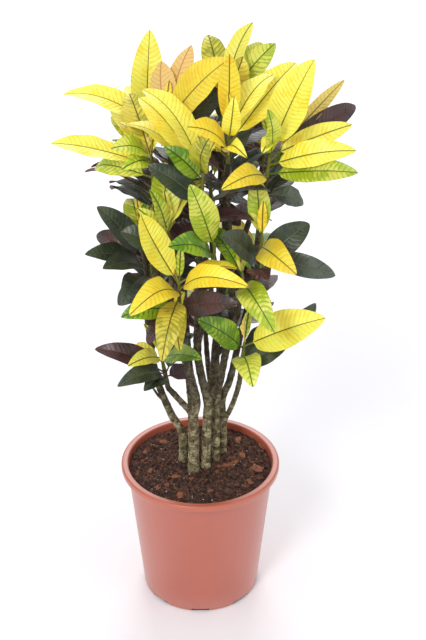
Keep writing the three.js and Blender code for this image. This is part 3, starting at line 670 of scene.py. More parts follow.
def grow_leaves():
    """Every leaf that finds room, first those listed one by one and then each head's spiral."""
    draw = seeded_draws(SEED)
    wanted = []
    for name, head in HEADS.items():
        wanted += [hand_leaf(name, head, row, draw) for row in head.leaves]
    for name, head in HEADS.items():
        for tier, count in (("bud", SPIRAL["bud"]["count"]), ("young", head.young), ("mature", head.mature)):
            wanted += [spiral_leaf(name, head, tier, i, count, draw) for i in range(count)]
    wood = Wood()
    grown = []
    placed = []
    for leaf in wanted:
        head = HEADS[leaf.node.split("_", 1)[1]]
        for candidate in tries(leaf):
            if past_crown(candidate, head):
                continue
            own = Beads(candidate)
            if not wood.meets(own, head.foot) and not any(own.meets(other) for other in placed):
                placed.append(own)
                grown.append(candidate)
                break
    return grown


# ---------------------------------------------------------------- settings

def srgb(*levels):
    """A colour given as 0 to 255 levels, as the linear values that a shader takes."""
    shares = [level / 255 for level in levels]
    return tuple(s / 12.92 if s <= 0.04045 else ((s + 0.055) / 1.055) ** 2.4 for s in shares)


def darker(levels, share):
    return [level * share for level in levels]


def colour(name, description, *levels):
    return FloatVectorProperty(
        name=name, description=description, default=srgb(*levels), subtype="COLOR", min=0, max=1
    )


def size(name, description, millimetres):
    return FloatProperty(name=name, description=description, default=millimetres * MM, unit="LENGTH")


def ratio(name, description, default):
    return FloatProperty(name=name, description=description, default=default)


def whole(name, description, default):
    return IntProperty(name=name, description=description, default=default)


class CrotonPotSettings(PropertyGroup):
    """The moulded pot."""

    height: FloatProperty(
        name="Height", description="Height of the pot", default=POT_BOX[1].z, unit="LENGTH"
    )
    rim_radius: FloatProperty(
        name="Rim Radius", description="Outer radius of the rim", default=POT_BOX[1].x, unit="LENGTH"
    )
    foot_radius: size("Foot Radius", "Outer radius that the wall's line has at the floor", 99.8)
    wall_slope: ratio("Wall Slope", "How much the wall widens for each unit of height", WALL_SLOPE)
    wall: size("Wall", "Thickness of the wall", 2.5)
    rim_depth: size("Rim Depth", "Height of the rolled rim", 11.5)
    step: size("Step", "How far below the top the moulded step lies", 26)
    sides: whole("Sides", "Flat strips round the pot", 144)
    body: colour("Body Colour", "Colour of the plastic", 182, 94, 74)
    rim: colour("Rim Colour", "Colour of the rolled rim", 188, 96, 70)


class CrotonSoilSettings(PropertyGroup):
    """The potting soil and what lies on it."""

    rings: whole("Rings", "Rings of the soil's surface", 64)
    sectors: whole("Sectors", "Sectors of the soil's surface", 150)
    roughness: size("Roughness", "Height of the lumps in the soil's surface", 3.4)
    crumbs: whole("Crumbs", "Crumbs of peat on the soil", 1100)
    grit: whole("Grit", "White grains on the soil", 90)
    fibres: whole("Fibres", "Root and straw fibres on the soil", 150)
    chips: whole("Small Chips", "Small bark chips on the soil", 60)
    peat: colour("Peat Colour", "Colour of the peat", 98, 66, 56)
    dark: colour("Damp Colour", "Colour of the damp peat in the hollows", 34, 24, 21)
    fibre: colour("Fibre Colour", "Colour of fibres in the peat", 136, 92, 72)
    chip: colour("Chip Colour", "Colour of bark chips", 172, 106, 74)
    grain: colour("Grit Colour", "Colour of the white grains", 226, 220, 212)
    straw: colour("Straw Colour", "Colour of loose root fibres", 176, 132, 100)


class CrotonBarkSettings(PropertyGroup):
    """The woody stems."""

    sides: whole("Sides", "Points round each stem", 22)
    spacing: size("Ring Spacing", "Distance between rings of points", 2.6)
    lumps: ratio("Lumps", "Height of lumps as a share of the radius", 0.13)
    scars: ratio("Leaf Scars", "Height of leaf scars as a share of the radius", 0.1)
    light: colour("Light Bark", "Colour of the bark's raised parts", 208, 194, 148)
    middle: colour("Bark", "Main colour of the bark", 128, 112, 76)
    # Besides cracks and pores, the dark bark colour is also the colour of the painted shade near the soil and
    # under the leaves.
    dark: colour("Dark Bark", "Colour of cracks and pores", 46, 36, 26)
    moss: colour("Algae", "Colour of the green bloom on the bark", 118, 118, 62)


class CrotonLeafSettings(PropertyGroup):
    """The shape that all leaves share."""

    rows: whole("Rows", "Rows of points along a blade", 34)
    columns: whole("Columns", "Points across a blade, an odd number", 17)
    thickness: size("Thickness", "Thickness of the blade", 0.7)
    rib: size("Midrib", "How far the midrib stands out below the blade", 1.1)
    stalk: size("Stalk Radius", "Radius of the leaf stalk", 1.5)
    ripple: size("Ripple", "Height of the fine ripple along the margin", 0.9)
    vein_spacing: size("Vein Spacing", "Distance between side veins", 8.2)
    vein_width: size("Vein Width", "Width of a side vein", 0.75)
    midrib_width: size("Midrib Width", "Width of the coloured midrib", 1.9)
    margin_width: size("Margin Width", "Width of the coloured margin", 1.6)


class CrotonLookSettings(PropertyGroup):
    """The colours of one kind of leaf."""

    blade: colour("Blade", "Colour of the blade between the veins", 250, 220, 50)
    patch: colour("Patch", "Colour of the patches in the blade", 200, 205, 60)
    vein: colour("Veins", "Colour of the veins and the margin", 120, 150, 50)
    under: colour("Underside", "Colour of the underside", 236, 200, 110)
    under_vein: colour("Underside Veins", "Colour of the veins below", 200, 150, 80)
    patches: ratio("Patches", "Share of the blade that patches cover", 0.3)
    veins: ratio("Vein Strength", "How strongly the side veins show", 0.6)
    roughness: ratio("Roughness", "Roughness of the blade's upper side", 0.36)


# For each look: blade, patch, vein, underside, underside veins, share of patches, vein strength, roughness.
LOOKS = {
    "gold": ((252, 246, 98), (252, 232, 70), (120, 124, 34), (248, 226, 122), (206, 180, 84), .3, .07, .38),
    "amber": ((252, 228, 62), (250, 214, 50), (118, 114, 28), (246, 210, 112), (210, 160, 84), .35, .08, .36),
    "lime": ((224, 226, 90), (176, 198, 44), (84, 118, 22), (212, 210, 104), (140, 150, 60), .5, .3, .34),
    "green": ((146, 178, 38), (96, 140, 18), (50, 90, 16), (150, 164, 80), (110, 120, 56), .5, .4, .3),
    "olive": ((210, 200, 62), (160, 162, 34), (92, 92, 22), (214, 180, 76), (130, 116, 40), .5, .4, .4),
    "salmon": ((252, 224, 116), (236, 206, 96), (140, 140, 60), (246, 206, 124), (222, 160, 96), .2, .3, .42),
    "ochre": ((226, 210, 72), (182, 176, 48), (104, 98, 26), (216, 184, 84), (150, 118, 50), .45, .35, .4),
    "dark": ((62, 74, 50), (44, 58, 40), (88, 92, 62), (92, 40, 36), (120, 60, 50), .5, .3, .34),
    "maroon": ((80, 50, 48), (54, 44, 40), (100, 58, 52), (100, 50, 46), (128, 66, 58), .4, .3, .34),
    "sage": ((80, 92, 74), (58, 70, 56), (100, 102, 76), (90, 46, 42), (120, 66, 56), .4, .3, .32),
}


class CrotonSettings(PropertyGroup):
    """All sizes and colours of the plant."""

    pot: PointerProperty(type=CrotonPotSettings)
    soil: PointerProperty(type=CrotonSoilSettings)
    bark: PointerProperty(type=CrotonBarkSettings)
    leaf: PointerProperty(type=CrotonLeafSettings)
    looks: CollectionProperty(type=CrotonLookSettings)
    young_shoot: colour("Young Shoot", "Colour of the green wood among young leaves", 150, 150, 62)
    old_shoot: colour("Old Shoot", "Colour of the wood among mature leaves", 92, 84, 56)
    floor: colour("Floor", "Colour of the studio floor", 252, 251, 253)


def add_looks(settings):
    """One entry for each kind of leaf, whose values stand in the order of the settings."""
    for name, row in LOOKS.items():
        look = settings.looks.add()
        look.name = name
        for label, value in zip(CrotonLookSettings.__annotations__, row):
            setattr(look, label, srgb(*value) if isinstance(value, tuple) else value)


# ---------------------------------------------------------------- meshes

def add_object(name, data):
    """A new object in the scene."""
    made = bpy.data.objects.new(name, data)
    bpy.context.scene.collection.objects.link(made)
    return made


def new_piece(name, points, faces, materials, replaces=(), face_material=None, face_values=None,
              point_values=None, sharp_angle=50):
    """A smooth mesh object from points in millimetres, riding on the one body of the plant. `face_values`
    and `point_values` are what its faces and points hold, by name."""
    mesh = bpy.data.meshes.new(name)
    mesh.from_pydata((np.asarray(points) * MM).tolist(), [], faces)
    mesh.validate()
    mesh.update()
    for made in materials:
        mesh.materials.append(made)
    if face_material is not None:
        mesh.polygons.foreach_set("material_index", np.asarray(face_material, np.int32))
    for label, values in (point_values or {}).items():
        attribute = mesh.attributes.new(label, "FLOAT", "POINT")
        attribute.data.foreach_set("value", np.asarray(values, np.float32))
    for label, values in (face_values or {}).items():
        attribute = mesh.attributes.new(label, "FLOAT", "FACE")
        attribute.data.foreach_set("value", np.asarray(values, np.float32))
    mesh.shade_smooth()
    mesh.set_sharp_from_angle(angle=math.radians(sharp_angle))
    piece = add_object(name, mesh)
    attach(piece, "root")
    if replaces:
        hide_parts(*replaces)
    return piece


def ring_faces(rings, count):
    """The quads between closed rings of `count` points each."""
    faces = []
    for i in range(rings - 1):
        a = i * count
        for k in range(count):
            n = (k + 1) % count
            faces.append((a + k, a + n, a + count + n, a + count + k))
    return faces


def spin(angle):
    """The turn by an angle about the vertical."""
    c, s = math.cos(angle), math.sin(angle)
    return np.array(((c, -s, 0), (s, c, 0), (0, 0, 1)))


def smooth_steps(points, spacing):
    """Points at about the given spacing on a smooth curve through `points`, and the place of each, from 0
    to 1, in steps of the given points."""
    out = []
    places = []
    count = len(points) - 1
    for i in range(count):
        a, b = points[i], points[i + 1]
        before = points[i - 1] if i else 2 * a - b
        after = points[i + 2] if i + 2 <= count else 2 * b - a
        steps = max(1, round(np.linalg.norm(b - a) / spacing))
        for s in range(steps):
            t = s / steps
            out.append(0.5 * (2 * a + (b - before) * t + (2 * before - 5 * a + 4 * b - after) * t * t
                              + (3 * a - before - 3 * b + after) * t**3))
            places.append((i + t) / count)
    return np.array([*out, points[-1]]), np.array([*places, 1.0])


def across_path(path):
    """Two directions across a path at each of its points."""
    along = np.gradient(path, axis=0)
    along /= np.linalg.norm(along, axis=1)[:, None]
    across = np.array((1.0, 0, 0)) - along * along[:, :1]
    across /= np.linalg.norm(across, axis=1)[:, None]
    return across, np.cross(along, across)


def tube_mesh(path, radii, sides, bulge=None):
    """Points and faces of a closed tube. `bulge` gives, for a point of its skin and the number of its ring,
    a share to widen it by."""
    across, third = across_path(path)
    angles = np.arange(sides) / sides * 2 * np.pi
    outward = across[:, None] * np.cos(angles)[None, :, None] + third[:, None] * np.sin(angles)[None, :, None]
    wide = np.broadcast_to(np.asarray(radii, float)[:, None], (len(path), sides)).copy()
    if bulge is not None:
        for i in range(len(path)):
            for k in range(sides):
                wide[i, k] *= 1 + bulge(path[i] + outward[i, k] * wide[i, k], i)
    points = (path[:, None] + outward * wide[..., None]).reshape(-1, 3)
    faces = ring_faces(len(path), sides)
    faces.append(tuple(reversed(range(sides))))
    faces.append(tuple((len(path) - 1) * sides + k for k in range(sides)))
    return points, faces


class Builder:
    """Gathers the points, faces and values of a piece that is made of many closed forms."""

    def __init__(self):
        self.points = []
        self.faces = []
        self.materials = []
        self.under = []
        self.values = {"along": [], "across": [], "half_width": [], "leaf_draw": []}
        self.count = 0

    def add(self, points, faces, material=0, under=None, **values):
        """Adds a closed form, whose faces are numbered within it. `under` holds 1 for each face of a leaf's
        lower side, and `values` are what its points hold."""
        self.points.append(points)
        self.faces += [tuple(v + self.count for v in face) for face in faces]
        self.materials += [material] * len(faces)
        self.under += [0.0] * len(faces) if under is None else list(under)
        for label, gathered in self.values.items():
            gathered.append(np.broadcast_to(np.asarray(values.get(label, 0.0), float), (len(points),)))
        self.count += len(points)

    def piece(self, name, slot, materials, replaces=(), sharp_angle=50):
        return new_piece(
            name, np.concatenate(self.points), self.faces, materials, replaces,
            face_material=self.materials,
            face_values={"under": self.under},
            point_values={label: np.concatenate(gathered) for label, gathered in self.values.items()},
            sharp_angle=sharp_angle,
        )


# ---------------------------------------------------------------- materials

class Nodes:
    """Adds nodes to a tree, each joined to what it reads."""

    def __init__(self, tree):
        self.tree = tree

    def add(self, kind, inputs=(), **settings):
        """A new node. `inputs` are pairs of a socket's name or number and what it reads."""
        node = self.tree.nodes.new(kind)
        for label, value in settings.items():
            setattr(node, label, value)
        for socket, value in dict(inputs).items():
            self.feed(node.inputs[socket], value)
        return node

    def feed(self, socket, value):
        """Joins a socket to another one, or sets it to a plain value."""
        if isinstance(value, bpy.types.NodeSocket):
            self.tree.links.new(value, socket)
        else:
            socket.default_value = value

    def math(self, operation, *values):
        return self.add("ShaderNodeMath", enumerate(values), operation=operation).outputs[0]

    def plus(self, first, second):
        return self.math("ADD", first, second)

    def minus(self, first, second):
        return self.math("SUBTRACT", first, second)

    def times(self, first, second):
        return self.math("MULTIPLY", first, second)

    def larger(self, first, second):
        return self.math("MAXIMUM", first, second)

    def attribute(self, name):
        return self.add("ShaderNodeAttribute", attribute_name=name).outputs["Fac"]

    def height(self, point):
        """How high a point of the surface lies, in metres."""
        return self.add("ShaderNodeSeparateXYZ", {"Vector": point}).outputs["Z"]

    def step(self, value, low, high):
        """0 below `low`, 1 above `high`, and smooth between."""
        inputs = {"Value": value, "From Min": low, "From Max": high}
        return self.add("ShaderNodeMapRange", inputs, interpolation_type="SMOOTHSTEP").outputs["Result"]

    def fade(self, value, low, high):
        """1 below `low`, 0 above `high`, and smooth between."""
        return self.minus(1.0, self.step(value, low, high))

    def mix(self, share, first, second):
        """The first colour where `share` is 0 and the second where it is 1. The colours of a Mix node are
        its inputs 6 and 7 and its output 2."""
        node = self.add("ShaderNodeMix", {"Factor": share}, data_type="RGBA")
        self.feed(node.inputs[6], first)
        self.feed(node.inputs[7], second)
        return node.outputs[2]

    def noise(self, vector, scale, detail=3.0, roughness=0.55):
        """Soft noise from 0 to 1, with about `scale` lumps to the metre."""
        inputs = {"Vector": vector, "Scale": scale, "Detail": detail, "Roughness": roughness}
        return self.add("ShaderNodeTexNoise", inputs).outputs["Fac"]

    def cells(self, vector, scale, feature="F1"):
        """The distance to the nearest of some cells, about `scale` of them to the metre, or to its edge."""
        inputs = {"Vector": vector, "Scale": scale}
        return self.add("ShaderNodeTexVoronoi", inputs, feature=feature).outputs["Distance"]

    def place(self, stretch=(1, 1, 1)):
        """The point of the surface in the part's own frame, stretched along each axis."""
        point = self.add("ShaderNodeTexCoord").outputs["Object"]
        return self.add("ShaderNodeMapping", {"Vector": point, "Scale": stretch}).outputs["Vector"]

    def tint(self, base, amount, value):
        """The colour made darker or lighter by up to `amount` as `value` goes from 0 to 1."""
        inputs = {"Value": value, "To Min": 1 - amount, "To Max": 1 + amount}
        level = self.add("ShaderNodeMapRange", inputs).outputs["Result"]
        node = self.add("ShaderNodeVectorMath", {0: base, 1: level}, operation="MULTIPLY")
        return node.outputs[0]


def effect(name, colours, values, build):
    """The shader node group of that name, built on first use, with the names of its colour and value inputs.
    `build` gets the nodes and the group's inputs, and gives its colour, its roughness and its height."""
    tree = bpy.data.node_groups.get(name)
    if tree:
        return tree
    tree = bpy.data.node_groups.new(name, "ShaderNodeTree")

    def add_sockets(labels, side, kind):
        for label in labels:
            tree.interface.new_socket(label, in_out=side, socket_type=kind)

    add_sockets(colours, "INPUT", "NodeSocketColor")
    add_sockets(values, "INPUT", "NodeSocketFloat")
    add_sockets(["Color"], "OUTPUT", "NodeSocketColor")
    add_sockets(["Roughness", "Height"], "OUTPUT", "NodeSocketFloat")
    nodes = Nodes(tree)
    results = build(nodes, nodes.add("NodeGroupInput").outputs)
    nodes.add("NodeGroupOutput", zip(("Color", "Roughness", "Height"), results))
    return tree


def new_material(name):
    """An empty material and its nodes."""
    made = bpy.data.materials.new(name)
    made.use_nodes = True
    made.node_tree.nodes.clear()
    return made, Nodes(made.node_tree)


def material(name, group, values, bump, **constants):
    """A Principled material whose colour, roughness and bump come from an effect. `bump` is the bump's depth
    in metres, and `constants` are set on the shader's own sockets."""
    made, nodes = new_material(name)
    pattern = nodes.add("ShaderNodeGroup", node_tree=group)
    for label, value in values.items():
        pattern.inputs[label].default_value = (*value, 1) if hasattr(value, "__len__") else value
    height = {"Height": pattern.outputs["Height"], "Distance": bump, "Strength": 1.0}
    normal = nodes.add("ShaderNodeBump", height).outputs["Normal"]
    shader = nodes.add("ShaderNodeBsdfPrincipled", {
        "Base Color": pattern.outputs["Color"],
        "Roughness": pattern.outputs["Roughness"],
        "Normal": normal,
    })
    for label, value in constants.items():
        shader.inputs[label].default_value = value
    nodes.add("ShaderNodeOutputMaterial", {"Surface": shader.outputs["BSDF"]})
    return made


def leaf_effect():
    """Veins, margin, patches and underside of a leaf. The distances that its points hold are in metres:
    along the blade, across it and half its width. Its draw and its side, above or below, come with them."""

    def build(n, given):
        along, across, half = n.attribute("along"), n.attribute("across"), n.attribute("half_width")
        draw, under = n.attribute("leaf_draw"), n.attribute("under")
        off = n.math("ABSOLUTE", across)
        share = n.math("DIVIDE", off, n.larger(half, 0.001))
        seat = n.add("ShaderNodeCombineXYZ", {"X": along, "Y": across, "Z": n.times(draw, 7.0)})
        place = seat.outputs[0]

        wobble = n.times(n.minus(n.noise(place, 60.0, detail=1.0), 0.5), 0.009)
        climb = n.times(off, n.plus(0.42, n.times(share, 0.3)))
        path = n.plus(n.minus(along, climb), wobble)
        turns = n.math("DIVIDE", path, given["Vein Spacing"])
        turns = n.plus(turns, n.times(n.math("GREATER_THAN", across, 0.0), 0.46))
        beside = n.math("ABSOLUTE", n.minus(n.math("FRACT", turns), 0.5))
        beside = n.times(beside, given["Vein Spacing"])
        width = n.times(given["Vein Width"], n.fade(share, 0.2, 1.6))
        side = n.fade(beside, 0.0, n.times(width, 1.5))
        halo = n.fade(beside, 0.0, n.times(given["Vein Spacing"], 0.42))

        taper = n.fade(along, 0.02, 0.24)
        rib = n.times(n.times(given["Midrib Width"], 0.5), taper)
        midrib = n.fade(off, n.times(rib, 0.75), n.times(rib, 1.3))
        margin = n.fade(n.minus(half, off), 0.0, given["Margin Width"])
        stalk = n.math("LESS_THAN", along, 0.0)

        cloud = n.step(n.noise(place, 34.0, detail=3.0, roughness=0.62), 0.34, 0.66)
        cloud = n.plus(cloud, n.times(n.minus(halo, 0.4), 0.35))
        edge = n.minus(1.0, given["Patches"])
        patch = n.step(cloud, n.minus(edge, 0.22), n.plus(edge, 0.22))
        strength = given["Vein Strength"]
        marks = n.times(n.larger(side, n.times(margin, 0.7)), strength)

        top = n.mix(patch, given["Blade"], given["Patch"])
        top = n.mix(marks, top, given["Vein"])
        top = n.mix(n.larger(midrib, stalk), top, given["Vein"])
        low = n.mix(n.times(side, 0.55), given["Underside"], given["Underside Vein"])
        low = n.mix(n.larger(midrib, stalk), low, given["Underside Vein"])
        colour = n.tint(n.mix(under, top, low), 0.1, draw)
        colour = n.tint(colour, 0.08, n.noise(place, 160.0, detail=4.0))

        pores = n.cells(place, 900.0)
        flesh = n.plus(n.times(halo, -0.35), n.times(pores, 0.1))
        grooves = n.minus(flesh, n.larger(n.times(side, 0.5), midrib))
        sign = n.minus(1.0, n.times(under, 2.0))
        rough = n.plus(given["Blade Roughness"], n.times(n.noise(place, 90.0), 0.12))
        rough = n.plus(rough, n.times(under, 0.18))
        return colour, rough, n.times(grooves, sign)

    colours = ["Blade", "Patch", "Vein", "Underside", "Underside Vein"]
    values = [
        "Patches", "Vein Strength", "Blade Roughness", "Vein Spacing", "Vein Width", "Midrib Width",
        "Margin Width",
    ]
    return effect("Leaf Pattern", colours, values, build)


def leaf_material(look, shape):
    values = {
        "Blade": look.blade, "Patch": look.patch, "Vein": look.vein, "Underside": look.under,
        "Underside Vein": look.under_vein, "Patches": look.patches, "Vein Strength": look.veins,
        "Blade Roughness": look.roughness, "Vein Spacing": shape.vein_spacing,
        "Vein Width": shape.vein_width, "Midrib Width": shape.midrib_width,
        "Margin Width": shape.margin_width,
    }
    waxy = {"Coat Weight": 0.25, "Coat Roughness": 0.3, "IOR": 1.45}
    return material(f"leaf_{look.name}", leaf_effect(), values, bump=0.7 * MM, **waxy)


# Heights in metres between which painted shade fades out of the bark above the soil, and between which
# painted shade darkens it again under the leaves.
SHADE_AT_SOIL = (0.23, 0.26)
SHADE_UNDER_LEAVES = (0.28, 0.44)


def bark_effect():
    """Mottled bark with pores, cracks and a green bloom, and painted shade towards the soil and under the
    leaves.
    """

    def build(n, given):
        place = n.place()
        rings = n.place((1.0, 1.0, 2.6))
        strips = n.place((1.0, 1.0, 0.35))
        broad = n.step(n.noise(place, 75.0, detail=4.0, roughness=0.65), 0.42, 0.56)
        fine = n.step(n.noise(rings, 120.0, detail=5.0, roughness=0.7), 0.4, 0.58)
        cracks = n.fade(n.noise(strips, 330.0, detail=4.0, roughness=0.7), 0.36, 0.46)
        pores = n.fade(n.cells(rings, 150.0), 0.16, 0.3)
        bloom = n.step(n.noise(place, 26.0, detail=2.0), 0.48, 0.66)
        level = n.height(place)
        # pale is 1 where no painted shade lies on the bark, and falls to 0 towards the soil and under the
        # leaves.
        pale = n.times(n.fade(level, *SHADE_UNDER_LEAVES), n.step(level, *SHADE_AT_SOIL))
        colour = n.mix(broad, given["Middle"], given["Light"])
        colour = n.mix(n.times(bloom, 0.5), colour, given["Algae"])
        dirt = n.times(n.minus(1.0, fine), 0.62)
        colour = n.mix(n.larger(dirt, n.times(cracks, 0.9)), colour, given["Dark"])
        colour = n.mix(n.times(pores, 0.35), colour, given["Light"])
        # Painted shade: the bark turns towards its dark colour near the soil and under the leaves.
        colour = n.mix(n.times(n.minus(1.0, pale), 0.75), colour, given["Dark"])
        height = n.plus(n.times(fine, 0.5), n.times(broad, 0.4))
        height = n.minus(n.plus(height, n.times(pores, 0.3)), cracks)
        rough = n.minus(0.95, n.times(broad, 0.15))
        return colour, rough, height

    return effect("Bark", ["Light", "Middle", "Dark", "Algae"], [], build)


def bark_material(bark):
    values = {"Light": bark.light, "Middle": bark.middle, "Dark": bark.dark, "Algae": bark.moss}
    return material("bark", bark_effect(), values, bump=1.6 * MM)


def shoot_material(name, base):
    """Green wood takes the bark's pattern in colours close to its own, with the same painted shade towards
    the soil and under the leaves.
    """
    light = [min(1, level * 1.35) for level in base]
    values = {"Light": light, "Middle": base, "Dark": darker(base, 0.5), "Algae": base}
    return material(name, bark_effect(), values, bump=0.8 * MM)


def peat_effect():
    """Damp peat with strands of fibre."""

    def build(n, given):
        place = n.place()
        clods = n.step(n.noise(place, 150.0, detail=5.0, roughness=0.75), 0.36, 0.62)
        threads = n.fade(n.cells(n.place((1.0, 2.2, 1.6)), 330.0, "DISTANCE_TO_EDGE"), 0.0, 0.06)
        threads = n.times(threads, n.step(n.noise(place, 90.0), 0.5, 0.6))
        rust = n.step(n.noise(place, 75.0, detail=3.0), 0.5, 0.62)
        colour = n.mix(clods, given["Damp"], given["Peat"])
        colour = n.mix(n.times(rust, 0.45), colour, given["Fibre"])
        colour = n.mix(n.times(threads, 0.8), colour, given["Fibre"])
        fine = n.noise(place, 700.0, detail=4.0, roughness=0.7)
        height = n.plus(n.times(clods, 0.7), n.times(fine, 0.5))
        height = n.plus(height, n.times(threads, 0.3))
        rough = n.minus(1.0, n.times(n.fade(clods, 0.0, 0.4), 0.25))
        return colour, rough, height

    return effect("Peat", ["Peat", "Damp", "Fibre"], [], build)


def peat_material(name, base, damp, fibre):
    return material(name, peat_effect(), {"Peat": base, "Damp": damp, "Fibre": fibre}, bump=2 * MM)


def plastic_effect():
    """Moulded plastic with a rim of its own colour, faint flow marks, scuffs and a little dust towards the
    foot."""

    def build(n, given):
        place = n.place()
        level = n.height(place)
        flow = n.noise(n.place((1.0, 1.0, 0.25)), 18.0, detail=3.0)
        speckle = n.noise(place, 1400.0, detail=2.0)
        scuffs = n.step(n.noise(n.place((1.0, 1.0, 6.0)), 42.0, detail=6.0, roughness=0.75), 0.62, 0.72)
        dust = n.times(n.fade(level, 0.0, 0.05), n.noise(place, 60.0))
        rim = n.step(level, given["Rim Height"], n.plus(given["Rim Height"], 0.004))
        colour = n.mix(rim, given["Body"], given["Rim"])
        colour = n.tint(colour, 0.05, flow)
        colour = n.tint(colour, 0.03, speckle)
        pale = n.larger(n.times(scuffs, 0.14), n.times(dust, 0.16))
        colour = n.mix(pale, colour, given["Dust"])
        rough = n.plus(given["Body Roughness"], n.times(n.plus(scuffs, flow), 0.1))
        height = n.plus(n.times(speckle, 0.4), n.times(scuffs, -0.2))
        return colour, rough, height

    return effect("Moulded Plastic", ["Body", "Rim", "Dust"], ["Rim Height", "Body Roughness"], build)


DUST = srgb(232, 214, 204)


def plastic_material(pot):
    values = {
        "Body": pot.body, "Rim": pot.rim, "Dust": DUST, "Body Roughness": 0.38,
        "Rim Height": pot.height - pot.rim_depth,
    }
    sheen = {"Coat Weight": 0.8, "Coat Roughness": 0.34, "IOR": 1.5}
    return material("terracotta_plastic", plastic_effect(), values, bump=0.2 * MM, **sheen)


def grain_effect():
    """A plain mineral or woody grain with a little mottling."""

    def build(n, given):
        place = n.place()
        mottle = n.step(n.noise(place, 260.0, detail=4.0, roughness=0.65), 0.35, 0.65)
        colour = n.tint(n.mix(mottle, given["Shade"], given["Base"]), 0.12, n.noise(place, 40.0))
        return colour, n.plus(0.75, n.times(mottle, 0.2)), mottle

    return effect("Grain", ["Base", "Shade"], [], build)


def grain_material(name, base, shade=0.55):
    """Mottled grain whose dark parts have `shade` of the base colour."""
    values = {"Base": base, "Shade": darker(base, shade)}
    return material(name, grain_effect(), values, bump=1.2 * MM)


# ---------------------------------------------------------------- pot and soil

def arc(centre, radius, start, end, steps):
    """Points of an arc in a profile, with angles in degrees from the outward direction."""
    angles = np.radians(np.linspace(start, end, steps + 1))
    return [(centre[0] + radius * math.cos(a), centre[1] + radius * math.sin(a)) for a in angles]


def pot_profile(pot):
    """Half the pot's section in millimetres, from the middle of its underside round to its inner floor."""
    top, rim = pot.height / MM, pot.rim_radius / MM
    lip = top - pot.rim_depth / MM
    step = top - pot.step / MM

    def wall(z):
        return pot.foot_radius / MM + pot.wall_slope * z

    def inner(z):
        return wall(z) - pot.wall / MM

    disc, disc_round = 56.5, 1.5
    groove_start, groove_end, groove_height = 60, 91, 7
    foot_round, step_round, lip_round, rim_round, mouth_round = 5, 1.2, 2.6, 3.4, 3
    floor, floor_bevel = 10, 3
    underside = [
        (0, 0), (disc, 0), *arc((disc, disc_round), disc_round, -90, -20, 3),
        (groove_start, groove_height), (groove_end, groove_height), (92.5, 1), (93.6, 0),
    ]
    outside = [
        (wall(0) - foot_round, 0),
        *arc((wall(foot_round) - foot_round, foot_round), foot_round, -80, 0, 6),
        (wall(step - 1), step - 1), *arc((wall(step) + 0.4, step + 0.8), step_round, -70, 0, 4),
        (wall(lip - 1) + 1.6, lip - 1), (wall(lip) + 2, lip - 0.2),
    ]
    rolled_rim = [
        (rim - lip_round, lip), *arc((rim - lip_round, lip + lip_round), lip_round, -80, 0, 5),
        *arc((rim - rim_round, top - rim_round), rim_round, 0, 90, 7),
        *arc((inner(top) + mouth_round, top - mouth_round), mouth_round, 90, 180, 6),
    ]
    inside = [
        (inner(lip), lip), (inner(step), step), (inner(floor) - 0.2, floor + floor_bevel),
        (inner(floor) - floor_bevel, floor), (0, floor),
    ]
    return underside + outside + rolled_rim + inside


def lathe(profile, sides):
    """Points and faces of a closed turned solid whose profile starts and ends on the axis."""
    ring = np.arange(sides) / sides * 2 * np.pi
    inside = np.array(profile[1:-1], float)
    points = np.empty((len(inside), sides, 3))
    points[..., 0] = inside[:, :1] * np.cos(ring)
    points[..., 1] = inside[:, :1] * np.sin(ring)
    points[..., 2] = inside[:, 1:]
    points = points.reshape(-1, 3)
    faces = ring_faces(len(inside), sides)
    first, last = len(points), len(points) + 1
    points = np.vstack([points, (0, 0, profile[0][1]), (0, 0, profile[-1][1])])
    end = (len(inside) - 1) * sides
    for k in range(sides):
        n = (k + 1) % sides
        faces.append((first, n, k))
        faces.append((end + k, end + n, last))
    return points, faces


# The drain slots: how many there are, and their size in millimetres.
DRAIN = {"count": 8, "width": 34, "height": 6, "depth": 16}


def drain_cutter(pot):
    """One object of plain blocks, which cut the slots round the foot."""
    bm = bmesh.new()
    for i in range(DRAIN["count"]):
        turn = i / DRAIN["count"] * 2 * math.pi
        block = bmesh.ops.create_cube(bm, size=1)["verts"]
        scale = Vector((DRAIN["depth"], DRAIN["width"], 2 * DRAIN["height"])) * MM
        bmesh.ops.scale(bm, verts=block, vec=scale)
        offset = pot.foot_radius - DRAIN["depth"] / 4 * MM
        bmesh.ops.translate(bm, verts=block, vec=(offset, 0, 0))
        bmesh.ops.rotate(bm, verts=block, cent=(0, 0, 0), matrix=Matrix.Rotation(turn, 3, "Z"))
    mesh = bpy.data.meshes.new("drain_cutter")
    bm.to_mesh(mesh)
    bm.free()
    return add_object("drain_cutter", mesh)


def apply_modifiers(piece):
    """Replaces the piece's mesh by the one that its modifiers give."""
    evaluated = piece.evaluated_get(bpy.context.evaluated_depsgraph_get())
    mesh = bpy.data.meshes.new_from_object(evaluated)
    piece.modifiers.clear()
    old = piece.data
    piece.data = mesh
    mesh.name = old.name
    bpy.data.meshes.remove(old)


POT_SHARP_ANGLE = 40


def make_pot(pot):
    points, faces = lathe(pot_profile(pot), pot.sides)
    piece = new_piece("nursery_pot", points, faces, [plastic_material(pot)], ["pot"],
                      sharp_angle=POT_SHARP_ANGLE)
    cutter = drain_cutter(pot)
    cut = piece.modifiers.new("drain slots", "BOOLEAN")
    cut.operation = "DIFFERENCE"
    cut.solver = "EXACT"
    cut.object = cutter
    apply_modifiers(piece)
    mesh = piece.data
    mesh.shade_smooth()
    mesh.set_sharp_from_angle(angle=math.radians(POT_SHARP_ANGLE))
    bpy.data.objects.remove(cutter)


# The mound: how far up from its edge the soil reaches, at each share of its radius.
MOUND_RADII = [0, 0.4, 0.72, 1]
MOUND_RISE = [1, 0.9, 0.45, 0]

# The soil's lumps: how much each size of them counts, and about how wide they are in millimetres.
SOIL_LUMPS = [(0.9, 26), (0.8, 9), (0.5, 3.6)]


